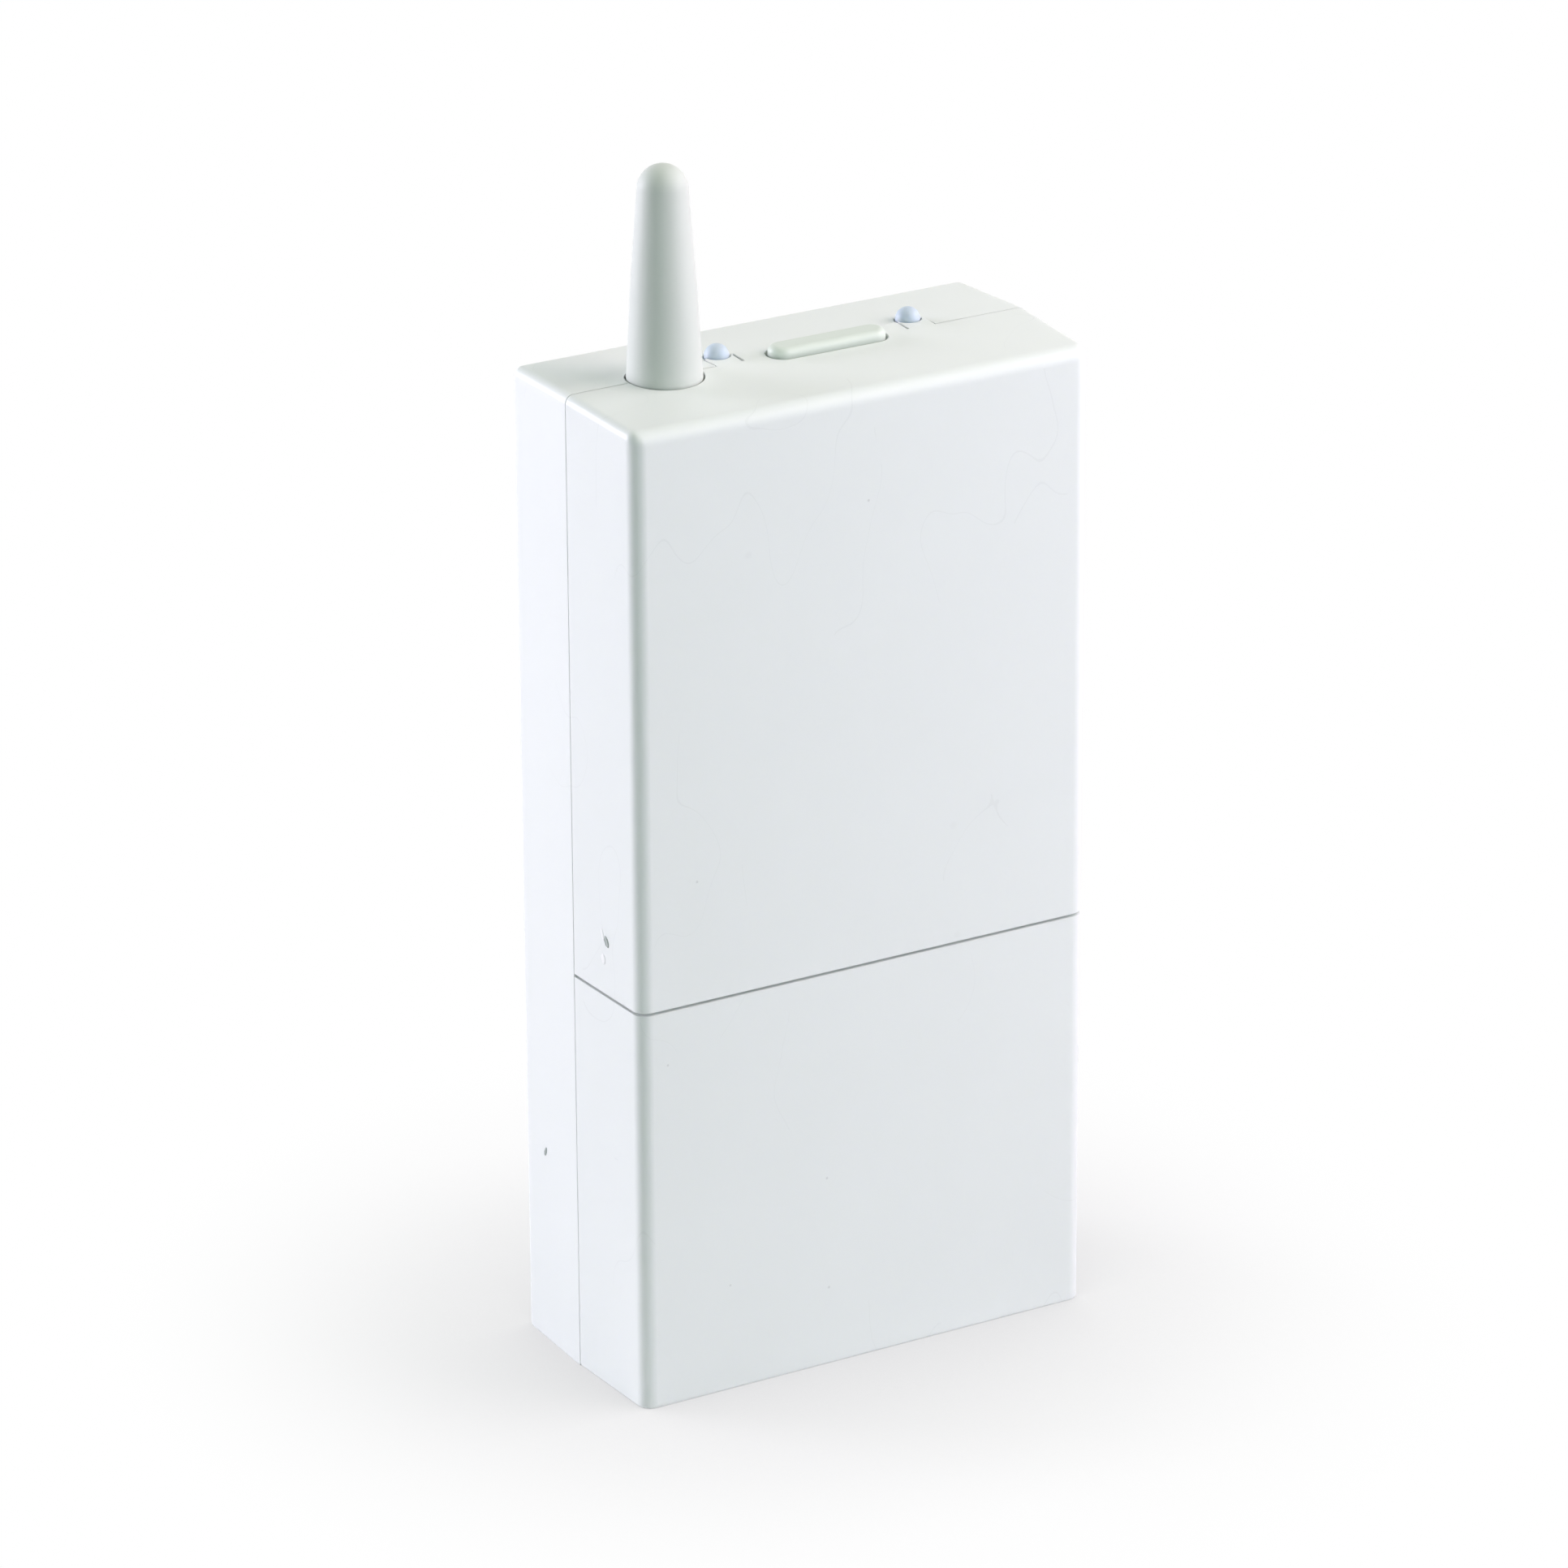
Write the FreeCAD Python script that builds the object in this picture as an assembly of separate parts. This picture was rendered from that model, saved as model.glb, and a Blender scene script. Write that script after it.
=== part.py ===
import FreeCAD, Part
import math
import os
from FreeCAD import Vector

# Wall-hung radio receiver for a heating radiator: a two-shell moulded case that stands upright,
# with a stub antenna, a push button and two indicator lenses on top.
# X runs across the front face, Y from the front (-) to the wall (+), Z up. Millimetres.

# Case
BODY_W = 54.0
BODY_D = 25.0
BODY_H = 107.0
PARTING_Y = 0.5
DRAFT_DEG = 2.0
WALL = 2.0
BACK_WALL = 2.2
FACE_EDGE_R = 1.5
BACK_EDGE_R = 1.0
CORNER_R = 1.0
FOOT_EDGE_R = 0.3
SEAM_Z = 44.3
SEAM_GAP = 0.3
PARTING_GAP = 0.12
RIB_T = 1.0
RIB_H = 0.6
COVER_RIB_X = 9.0
TERMINAL_RIB_X = 13.5

# Tongue of the front covers in the rim of the rear housing
RIM_T = 1.0
TONGUE_L = 1.5
TONGUE_FIT = 0.15

# Strip of the front cover that carries the button between the two indicators
TAB_REACH = 2.3
TAB_FINGER_W = 3.1
TAB_CLEAR = 0.6
SLIT_W = 0.28

# Controls on top
CONTROLS_X = 3.2
INDICATOR_PITCH = 22.5
INDICATOR_BACK = 2.7
LENS_R = 1.3
LENS_FLANGE_R = 1.65
LENS_FLANGE_T = 1.0
LENS_BODY_L = 4.4
LENS_FIT = 0.15
LEAD_T = 0.5
LEAD_PITCH = 1.9
LEAD_INSET = 2.0
LEAD_FORWARD = 1.0
BUTTON_L = 13.4
BUTTON_W = 3.0
BUTTON_PROUD = 1.0
BUTTON_EDGE_R = 0.75
BUTTON_FORWARD = 0.1
BUTTON_FIT = 0.3
BUTTON_RIM = 1.0
BUTTON_RIM_T = 1.1
BUTTON_TRAVEL = 0.6
BUTTON_STEM_W = 4.0
BUTTON_STEM_T = 0.9
TOP_SEAT = 0.3

# Antenna
ANTENNA_X = -15.6
ANTENNA_BASE_R = 3.88
ANTENNA_MID_R = 3.36
ANTENNA_MID_RISE = 9.4
ANTENNA_TIP_R = 2.6
ANTENNA_REACH = 22.2
ANTENNA_FIT = 0.2
ANTENNA_LEDGE = 1.1
ANTENNA_FLANGE_T = 1.4
ANTENNA_BORE_R = 2.4
ANTENNA_BORE_TIP_R = 1.75
ANTENNA_BORE_STEP = 12.0
ANTENNA_ROOF = 2.2
COIL_WIRE_R = 0.3
COIL_R = 1.2
COIL_LIFT = 1.0
COIL_TURNS = 6
COIL_SIDES = 10
WIRE_SIDES = 6
CRADLE_T = 1.5
GUSSET_T = 1.2

# Circuit board and what it stands on
BOARD_T = 1.6
BOARD_STANDOFF = 4.5
BOARD_SIDE_GAP = 1.5
BOARD_TOP_GAP = 5.0
BOARD_STEP = 3.2
BOARD_EAR_GAP = 1.1
BOARD_FOOT = 21.0
BOARD_SCREWS = 2
BOARD_SCREW_INSET = 3.0
BOARD_SCREW_LIFT = 4.0
BOARD_HOLE_FIT = 0.3
BOSS_R = 2.9
SKIN = 1.2
SCREW_R = 1.25
SCREW_HEAD_R = 2.4
SCREW_HEAD_T = 1.7
SCREW_L = 6.5
BOARD_SCREW_L = 5.5
SCREW_FIT = 0.05
SHANK_SIDES = 12
RECESS_ARM = 1.4
RECESS_W = 0.7
RECESS_DEPTH = 1.0

# Tact switch behind the button
SWITCH_W = 6.2
SWITCH_H = 6.0
SWITCH_T = 3.6
SWITCH_INSET = 0.5
SWITCH_EDGE = 0.4
SWITCH_LEG_W = 0.5
SWITCH_LEG_T = 0.9
SWITCH_LEG_H = 0.6
SWITCH_LEG_INSET = 1.1
PLUNGER_R = 1.2
PLUNGER_PROUD = 1.5
PLUNGER_DEPTH = 1.6
PLUNGER_FIT = 0.2

# Barrier between the electronics and the terminals, and the ears that hold the front cover
BARRIER_T = 1.8
BARRIER_CLEAR = 0.4
EAR_INSET = 6.7
EAR_W = 7.6
EAR_DROP = 8.6
EAR_T = 2.0
EAR_CORNER_R = 1.9
EAR_BOSS_R = 3.2
EAR_HOLE_R = 1.6
EAR_SCREW_L = 8.5
EAR_WEB_T = 1.2

# Wall fixing and cable entry in the back
KEYHOLE_DROP = 23.0
KEYHOLE_HEAD_R = 4.0
KEYHOLE_SLOT_R = 2.1
KEYHOLE_RISE = 6.0
POCKET_WALL = 1.2
POCKET_MARGIN = 0.8
FIXING_INSET = 13.0
FIXING_Z = 11.0
FIXING_R = 2.2
FIXING_COLLAR_R = 4.6
FIXING_COLLAR_T = 1.2
ENTRY_INSET = 15.5
ENTRY_W = 20.0
ENTRY_H = 8.0
ENTRY_LOW = 3.8
ENTRY_CORNER_R = 2.0
ENTRY_RIM = 1.2

# Cable clamp above the entry
CLAMP_PITCH = 18.6
CLAMP_RISE = 4.6
CLAMP_BOSS_R = 2.5
CLAMP_BOSS_L = 5.0
CLAMP_END = 2.7
CLAMP_BAR_H = 5.2
CLAMP_BAR_T = 2.0
CLAMP_CORNER_R = 2.3
CLAMP_HOLE_FIT = 0.25
CLAMP_ARCH_W = 11.0
CLAMP_ARCH_RISE = 1.1
CLAMP_SADDLE_T = 1.6
CLAMP_WEB_T = 1.2

# Mains terminals
POLES = 5
POLE_PITCH = 5.08
BLOCK_LIFT = 2.5
BLOCK_H = 10.0
BLOCK_T = 9.4
BLOCK_CHAMFER = 1.4
WIRE_W = 3.6
WIRE_T = 3.6
WIRE_LIFT = 2.4
CAGE_T = 0.5
CAGE_H = 4.0
CAGE_FIT = 0.1
CAGE_INSET = 2.5
TERMINAL_SCREW_R = 1.7
TERMINAL_SCREW_SINK = 0.8
TERMINAL_SCREW_SLOT = 0.6
TERMINAL_SLOT_DEPTH = 1.0
TERMINAL_WELL_FIT = 0.2

# Parts on the board: width, height off the board and length up the board
ROW_GAP = 1.2
FUSE_ROW_RISE = 2.7
POWER_ROW_RISE = 6.5
RELAY = (15.5, 12.2, 19.0)
RELAY_INSET = 1.8
RELAY_EDGE = 0.7
RELAY_NIB_R = 0.8
RELAY_NIB_T = 0.3
RELAY_NIB_INSET = 2.5
FILM_CAP = (8.0, 12.0, 17.5)
FILM_CAP_EDGE = 0.6
BULK_CAP_R = 4.0
BULK_CAP_L = 11.5
BULK_CAP_INSET = 11.4
FILTER_CAP_R = 2.5
FILTER_CAP_L = 8.0
CAN_EDGE = 0.5
VARISTOR_R = 4.5
VARISTOR_T = 3.6
VARISTOR_EDGE = 1.0
VARISTOR_LIFT = 1.5
VARISTOR_INSET = 3.5
VARISTOR_LEAD_PITCH = 5.0
FUSE_R = 2.3
FUSE_L = 8.0
DIODE_R = 1.3
DIODE_L = 4.4
DIODES = 2
AXIAL_LIFT = 0.4
AXIAL_LEAD = 1.4
AXIAL_GAP = 0.8
RADIO = (18.0, 0.8, 12.0)
RADIO_INSET = 2.5
RADIO_LIFT = 2.5
PIN_STRIP_W = 14.0
PIN_STRIP_H = 2.4
PIN_STRIP_EDGE = 0.4
CAN = (10.0, 2.4, 9.0)
CAN_SHIFT_X = -2.0
CAN_SHIFT_Z = 0.8
CAN_SHEET = 0.3
CAN_BEND = 0.4
CHIP = (7.5, 2.3, 10.3)
CHIP_INSET = 10.9
CHIP_LIFT = 0.2
CHIP_EDGE = 0.3
CHIP_LEGS = 7
CHIP_LEG_PITCH = 1.27
CHIP_LEG_L = 1.2
CHIP_LEG_W = 0.4
CHIP_LEG_T = 0.6

# Places worked out from the sizes above
FRONT_Y = -BODY_D / 2
BACK_Y = BODY_D / 2
TAN = math.tan(math.radians(DRAFT_DEG))
BACK_INNER_Y = BACK_Y - BACK_WALL
BOARD_BACK_Y = BACK_INNER_Y - BOARD_STANDOFF
BOARD_Y = BOARD_BACK_Y - BOARD_T
TOP_INNER_Z = BODY_H - WALL
TAB_Y = PARTING_Y + TAB_REACH
INDICATOR_Y = PARTING_Y + INDICATOR_BACK
INDICATOR_XS = (CONTROLS_X - INDICATOR_PITCH / 2, CONTROLS_X + INDICATOR_PITCH / 2)
BUTTON_Y = PARTING_Y - BUTTON_FORWARD
TAB_X0 = INDICATOR_XS[0] - TAB_FINGER_W / 2
TAB_X1 = INDICATOR_XS[1] + TAB_FINGER_W / 2
RIM_Y = PARTING_Y - PARTING_GAP
RABBET_Y = RIM_Y + TONGUE_L + TONGUE_FIT
COVER_LOW_Z = SEAM_Z + SEAM_GAP / 2
TERMINAL_COVER_HIGH_Z = SEAM_Z - SEAM_GAP / 2
SEAT_Z = TOP_INNER_Z - TOP_SEAT
ANTENNA_FLANGE_R = ANTENNA_BASE_R + ANTENNA_LEDGE
ANTENNA_FOOT_Z = SEAT_Z - ANTENNA_FLANGE_T
EAR_X = BODY_W / 2 - EAR_INSET
EAR_Z = COVER_LOW_Z - EAR_DROP / 2
BOARD_W = BODY_W - 2 * (WALL + BOARD_SIDE_GAP)
BOARD_NARROW_W = 2 * (EAR_X - EAR_BOSS_R - BOARD_EAR_GAP)
BOARD_TOP = TOP_INNER_Z - BOARD_TOP_GAP
BOARD_STEP_Z = SEAM_Z + BOARD_STEP
BOARD_SCREW_X = BOARD_W / 2 - BOARD_SCREW_INSET
LEAD_Z = BOARD_TOP - LEAD_INSET
LEAD_Y = INDICATOR_Y - LEAD_FORWARD
SWITCH_Y = BOARD_Y - SWITCH_T / 2
SWITCH_TOP = BOARD_TOP - SWITCH_INSET
PLUNGER_TOP = SWITCH_TOP + PLUNGER_PROUD
KEYHOLE_Z = BODY_H - KEYHOLE_DROP
FIXING_X = -BODY_W / 2 + FIXING_INSET
ENTRY_X = BODY_W / 2 - ENTRY_INSET
CLAMP_Z = ENTRY_LOW + ENTRY_H + CLAMP_RISE
CLAMP_SEAT_Y = BACK_INNER_Y - CLAMP_BOSS_L
BLOCK_LOW = BOARD_FOOT + BLOCK_LIFT
BLOCK_HIGH = BLOCK_LOW + BLOCK_H
BLOCK_TOP_Y = BOARD_Y - BLOCK_T
WIRE_Y1 = BOARD_Y - WIRE_LIFT
WIRE_Y0 = WIRE_Y1 - WIRE_T
CAGE_Z0 = BLOCK_LOW + CAGE_INSET
SCREW_TOP_Z = BLOCK_LOW + BLOCK_H / 2
FUSE_ROW_Z = BOARD_STEP_Z + FUSE_ROW_RISE
POWER_ROW_Z = BOARD_STEP_Z + POWER_ROW_RISE
RADIO_ROW_Z = POWER_ROW_Z + RELAY[2] + ROW_GAP
RELAY_X = -BOARD_W / 2 + RELAY_INSET + RELAY[0] / 2
BULK_CAP_X = BOARD_W / 2 - BULK_CAP_INSET
BULK_CAP_Z = POWER_ROW_Z + BULK_CAP_R + ROW_GAP
FILTER_CAP_Z = BULK_CAP_Z + BULK_CAP_R + ROW_GAP + FILTER_CAP_R
FILM_CAP_X = (RELAY_X + RELAY[0] / 2 + BULK_CAP_X - BULK_CAP_R) / 2
VARISTOR_X = BOARD_W / 2 - VARISTOR_INSET
VARISTOR_Z = POWER_ROW_Z + 2 * VARISTOR_R
RADIO_X = -BOARD_W / 2 + RADIO_INSET + RADIO[0] / 2
RADIO_BACK_Y = BOARD_Y - RADIO_LIFT
CHIP_X = BOARD_W / 2 - CHIP_INSET

# How far a feature is rooted in its wall, how far a cutting tool starts outside it,
# and a reach past everything
ROOT = 0.1
PAST = 1.0
FAR = 200.0


def box(x0, x1, y0, y1, z0, z1):
    """Block between two corners."""
    return Part.makeBox(x1 - x0, y1 - y0, z1 - z0, Vector(x0, y0, z0))


def block_at(x, z, width, height, y0, y1):
    """Block centred on an upright axis line along Y."""
    return box(x - width / 2, x + width / 2, y0, y1, z - height / 2, z + height / 2)


def rod_y(radius, x, z, y0, y1):
    """Round bar along Y."""
    return Part.makeCylinder(radius, y1 - y0, Vector(x, y0, z), Vector(0, 1, 0))


def rod_z(radius, x, y, z0, z1):
    """Round bar along Z."""
    return Part.makeCylinder(radius, z1 - z0, Vector(x, y, z0), Vector(0, 0, 1))


def flat_sided_rod_y(radius, sides, x, z, y0, y1):
    """Bar along Y with flat sides."""
    turns = [2 * math.pi * i / sides for i in range(sides)]
    ring = [Vector(x + radius * math.cos(a), y0, z + radius * math.sin(a)) for a in turns]
    return Part.Face(Part.makePolygon(ring + ring[:1])).extrude(Vector(0, y1 - y0, 0))


def fuse_all(shapes):
    """One solid from several that touch."""
    return shapes[0].multiFuse(list(shapes[1:])).removeSplitter()


def group(shapes):
    """Separate solids kept together in one node."""
    return Part.makeCompound(list(shapes))


def solid_of(faces):
    """Closed solid from its flat faces."""
    solid = Part.makeSolid(Part.Shell(faces))
    if solid.Volume < 0:
        solid.reverse()
    return solid.removeSplitter()


def flat_face(points):
    """Flat face through its corners."""
    return Part.Face(Part.makePolygon(points + points[:1]))


def joined_rings(a, b):
    """Flat faces between two rings of corners."""
    count = len(a)
    return [flat_face([a[i], a[(i + 1) % count], b[(i + 1) % count], b[i]]) for i in range(count)]


def tapered_block(y0, rect0, y1, rect1):
    """Block between two upright rectangles (x0, z0, x1, z1), with flat sloping sides."""
    def corners(y, rect):
        x0, z0, x1, z1 = rect
        return [Vector(x0, y, z0), Vector(x1, y, z0), Vector(x1, y, z1), Vector(x0, y, z1)]
    a = corners(y0, rect0)
    b = corners(y1, rect1)
    return solid_of([flat_face(a), flat_face(b)] + joined_rings(a, b))


def case_rect(reach, inset, foot):
    """Section of the case at a distance from the parting plane, drawn in by a wall."""
    half = BODY_W / 2 - reach * TAN - inset
    return (-half, foot, half, BODY_H - reach * TAN - inset)


def case_block(y_rim, y_end, inset, foot):
    """Drafted block from the rim of a shell to its face or back."""
    side = 1.0 if y_end > y_rim else -1.0
    return tapered_block(y_rim, case_rect(side * (y_rim - PARTING_Y), inset, foot),
                         y_end, case_rect(side * (y_end - PARTING_Y), inset, foot))


def rounded_case(y_rim, y_end, edge_r):
    """Outer form of one shell: drafted walls, round corners and a round edge."""
    block = case_block(y_rim, y_end, 0.0, -FACE_EDGE_R * 4)

    def runs_back(edge):
        return edge.BoundBox.YLength > BODY_D / 8 and edge.BoundBox.ZMin > 0

    def on_face(edge):
        bounds = edge.BoundBox
        return bounds.YLength < 0.01 and abs(bounds.YMin - y_end) < 0.01 and bounds.ZMax > 0

    block = block.makeFillet(CORNER_R, [e for e in block.Edges if runs_back(e)])
    block = block.makeFillet(edge_r, [e for e in block.Edges if on_face(e)])
    return block.cut(box(-FAR, FAR, -FAR, FAR, -FAR, 0.0))


def obround(x, y, length, width, z0, z1):
    """Upright bar with round ends, long along X."""
    half = length / 2 - width / 2
    r = width / 2
    a = Vector(x - half, y - r, z0)
    b = Vector(x + half, y - r, z0)
    c = Vector(x + half, y + r, z0)
    d = Vector(x - half, y + r, z0)
    right = Part.Arc(b, Vector(x + half + r, y, z0), c)
    left = Part.Arc(d, Vector(x - half - r, y, z0), a)
    wire = Part.Wire([Part.LineSegment(a, b).toShape(), right.toShape(),
                      Part.LineSegment(c, d).toShape(), left.toShape()])
    return Part.Face(wire).extrude(Vector(0, 0, z1 - z0))


def button_hole(z0, z1):
    """Clear space round the button."""
    return obround(CONTROLS_X, BUTTON_Y, BUTTON_L + 2 * BUTTON_FIT, BUTTON_W + 2 * BUTTON_FIT, z0, z1)


def lens_holes(z0, z1):
    """Clear space round both indicator lenses."""
    return fuse_all([rod_z(LENS_R + LENS_FIT, x, INDICATOR_Y, z0, z1) for x in INDICATOR_XS])


def antenna_hole(z0, z1):
    """Clear space round the antenna's shank."""
    return rod_z(ANTENNA_BASE_R + ANTENNA_FIT, ANTENNA_X, PARTING_Y, z0, z1)


def tongue(z0, z1):
    """Thin inner rim of a front cover that reaches into the rear housing."""
    lip = RIM_T + TONGUE_FIT
    outer = box(-BODY_W / 2 + lip, BODY_W / 2 - lip, RIM_Y - WALL, RIM_Y + TONGUE_L, lip, BODY_H - lip)
    inner = box(-BODY_W / 2 + WALL, BODY_W / 2 - WALL, -FAR, FAR, WALL, BODY_H - WALL)
    ring = outer.cut(inner)
    return ring.common(box(-FAR, FAR, -FAR, FAR, z0, z1))


def control_gap(clear):
    """Window in the top rim from the antenna to the second indicator."""
    return box(ANTENNA_X - ANTENNA_FLANGE_R - clear, TAB_X1 + clear, RIM_Y, FAR, TOP_INNER_Z - WALL, FAR)


def front_shell():
    """Both front covers as one moulding, before the seam parts them."""
    shell = rounded_case(RIM_Y, FRONT_Y, FACE_EDGE_R)
    foot = [e for e in shell.Edges if abs(e.BoundBox.ZMax) < 0.01 and abs(e.BoundBox.YMax - FRONT_Y) < 0.01
            and e.BoundBox.XLength > BODY_W / 2]
    shell = shell.makeFillet(FOOT_EDGE_R, foot)
    return shell.cut(case_block(RIM_Y + PAST, FRONT_Y + WALL, WALL, WALL))


def face_rib(x, z0, z1):
    """Low stiffening rib inside the front face."""
    inner = FRONT_Y + WALL
    return box(x - RIB_T / 2, x + RIB_T / 2, inner - ROOT, inner + RIB_H, z0, z1)


def top_tab():
    """Strip of the top wall that reaches back between the indicators, with its two slits."""
    strip = case_block(TAB_Y, FRONT_Y, 0.0, TOP_INNER_Z)
    strip = strip.common(box(TAB_X0, TAB_X1, RIM_Y - WALL, TAB_Y, TOP_INNER_Z, FAR))
    inner_sides = (INDICATOR_XS[0] + TAB_FINGER_W / 2, INDICATOR_XS[1] - TAB_FINGER_W / 2)
    slits = [box(x - SLIT_W / 2, x + SLIT_W / 2, PARTING_Y, FAR, 0, FAR) for x in inner_sides]
    return strip.cut(fuse_all(slits))


def cover_ear(x):
    """Ear below the barrier that takes one cover screw."""
    ear = box(x - EAR_W / 2, x + EAR_W / 2, PARTING_Y - EAR_T, PARTING_Y,
              COVER_LOW_Z - EAR_DROP, COVER_LOW_Z + BARRIER_T / 2)
    low = [e for e in ear.Edges if e.BoundBox.YLength > EAR_T / 2 and e.BoundBox.ZMax < EAR_Z]
    return ear.makeFillet(EAR_CORNER_R, low)


def front_cover():
    """Upper front cover with its barrier, ears and the strip round the button."""
    barrier_top = COVER_LOW_Z + BARRIER_T
    cover = front_shell().common(box(-FAR, FAR, -FAR, FAR, COVER_LOW_Z, FAR))
    rim = tongue(barrier_top, FAR).cut(control_gap(TAB_CLEAR))
    barrier = case_block(RIM_Y, FRONT_Y + WALL / 2, WALL / 2, 0.0)
    barrier = barrier.common(box(-FAR, FAR, -FAR, FAR, COVER_LOW_Z, barrier_top))
    half = BODY_W / 2 - WALL - (BOARD_Y - PARTING_Y) * TAN - TONGUE_FIT
    shelf = box(-half, half, RIM_Y - PAST, BOARD_Y - BARRIER_CLEAR, COVER_LOW_Z, barrier_top)
    ribs = [face_rib(x, barrier_top - ROOT, TOP_INNER_Z) for x in (-COVER_RIB_X, COVER_RIB_X)]
    ears = [cover_ear(x) for x in (-EAR_X, EAR_X)]
    cover = fuse_all([cover, rim, barrier, shelf, top_tab()] + ears + ribs)
    low, high = TOP_INNER_Z - WALL, BODY_H + WALL
    for tool in [button_hole(low, high), lens_holes(low, high), antenna_hole(low, high)]:
        cover = cover.cut(tool)
    for x in (-EAR_X, EAR_X):
        cover = cover.cut(rod_y(EAR_HOLE_R, x, EAR_Z, PARTING_Y - EAR_T - PAST, PARTING_Y + PAST))
    return cover


def terminal_cover():
    """Lower front cover, which pulls off forwards to reach the terminals."""
    cover = front_shell().common(box(-FAR, FAR, -FAR, FAR, -FAR, TERMINAL_COVER_HIGH_Z))
    rib_top = TERMINAL_COVER_HIGH_Z - BARRIER_T
    ribs = [face_rib(x, WALL - ROOT, rib_top) for x in (-TERMINAL_RIB_X, 0.0, TERMINAL_RIB_X)]
    return fuse_all([cover, tongue(-FAR, rib_top)] + ribs)


def keyhole_form(radius, slot_r, y0, y1):
    """Round head hole with a slot of its own half width rising from it."""
    head = rod_y(radius, 0.0, KEYHOLE_Z, y0, y1)
    neck = box(-slot_r, slot_r, y0, y1, KEYHOLE_Z, KEYHOLE_Z + KEYHOLE_RISE)
    end = rod_y(slot_r, 0.0, KEYHOLE_Z + KEYHOLE_RISE, y0, y1)
    return fuse_all([head, neck, end])


def keyhole_pocket():
    """Walls and hollow of the pocket that keeps the wall screw's head clear of the board."""
    wide = KEYHOLE_HEAD_R + POCKET_MARGIN
    y0 = BOARD_BACK_Y + BARRIER_CLEAR
    outer = keyhole_form(wide + POCKET_WALL, wide + POCKET_WALL, y0, BACK_INNER_Y + ROOT)
    inner = keyhole_form(wide, wide, y0 + POCKET_WALL, BACK_INNER_Y)
    return outer, inner


def entry_hole(y0, y1, grow):
    """Rounded opening for the cable."""
    block = block_at(ENTRY_X, ENTRY_LOW + ENTRY_H / 2, ENTRY_W + 2 * grow, ENTRY_H + 2 * grow, y0, y1)
    return block.makeFillet(ENTRY_CORNER_R + grow, [e for e in block.Edges if e.BoundBox.YLength > ROOT])


def board_boss_places():
    """Centres (x, z) of the board's four bosses, the screwed ones first."""
    low, high = BOARD_STEP_Z + BOARD_SCREW_LIFT, BOARD_TOP - BOARD_SCREW_LIFT
    return [(-BOARD_SCREW_X, low), (BOARD_SCREW_X, high), (BOARD_SCREW_X, low), (-BOARD_SCREW_X, high)]


def board_screw_places():
    """Centres (x, z) of the board screws, at opposite corners."""
    return board_boss_places()[:BOARD_SCREWS]


def clamp_screw_places():
    """Centres (x, z) of the two cable clamp screws."""
    return [(ENTRY_X + side * CLAMP_PITCH / 2, CLAMP_Z) for side in (-1, 1)]


def antenna_cradle():
    """Shelf with a half-round seat that carries the antenna's flange."""
    half = BODY_W / 2 - WALL
    right = ANTENNA_X + ANTENNA_FLANGE_R
    shelf = box(-half - CRADLE_T / 2, right, PARTING_Y + TONGUE_FIT, BACK_INNER_Y + ROOT,
                ANTENNA_FOOT_Z - CRADLE_T, ANTENNA_FOOT_Z)
    shelf = shelf.cut(box(-FAR, -half, -FAR, RABBET_Y, 0, FAR))
    gusset = box(right - GUSSET_T, right, BOARD_BACK_Y + BARRIER_CLEAR, BACK_INNER_Y + ROOT,
                 ANTENNA_FOOT_Z - 3 * CRADLE_T, ANTENNA_FOOT_Z)
    return fuse_all([shelf, gusset]).cut(rod_z(ANTENNA_BORE_R + TONGUE_FIT, ANTENNA_X, PARTING_Y, 0, FAR))


def tray_shell():
    """Rear tray with its rabbet, and the solid rim beside the controls."""
    tray = rounded_case(PARTING_Y, BACK_Y, BACK_EDGE_R)
    tray = tray.cut(case_block(PARTING_Y - PAST, BACK_INNER_Y, WALL, WALL))
    side = BODY_W / 2 - RIM_T
    tray = tray.cut(box(-side, side, -FAR, RABBET_Y, RIM_T, BODY_H - RIM_T))
    rim = box(-side, side, PARTING_Y, RABBET_Y, TOP_INNER_Z, BODY_H - RIM_T)
    return fuse_all([tray, rim.common(control_gap(0.0))])


def housing_bosses():
    """Bosses, webs and rims inside the rear tray."""
    root = BACK_INNER_Y + ROOT
    wall_x = BODY_W / 2 - WALL
    added = [rod_y(BOSS_R, x, z, BOARD_BACK_Y, root) for x, z in board_boss_places()]
    for side in (-1, 1):
        x = side * EAR_X
        added.append(rod_y(EAR_BOSS_R, x, EAR_Z, PARTING_Y, root))
        added.append(block_at(side * (EAR_X + wall_x) / 2, EAR_Z, wall_x - EAR_X, EAR_WEB_T, BOARD_Y, root))
    added += [rod_y(CLAMP_BOSS_R, x, z, CLAMP_SEAT_Y, root) for x, z in clamp_screw_places()]
    added.append(block_at(ENTRY_X, CLAMP_Z, CLAMP_PITCH, CLAMP_WEB_T, BACK_INNER_Y - CLAMP_SADDLE_T, root))
    added.append(box(-wall_x + TONGUE_FIT, wall_x - TONGUE_FIT, BOARD_BACK_Y + BARRIER_CLEAR, root,
                     COVER_LOW_Z, COVER_LOW_Z + BARRIER_T))
    added.append(rod_y(FIXING_COLLAR_R, FIXING_X, FIXING_Z, BACK_INNER_Y - FIXING_COLLAR_T, root))
    added.append(entry_hole(BACK_INNER_Y - ENTRY_RIM, root, ENTRY_RIM))
    return added


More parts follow.
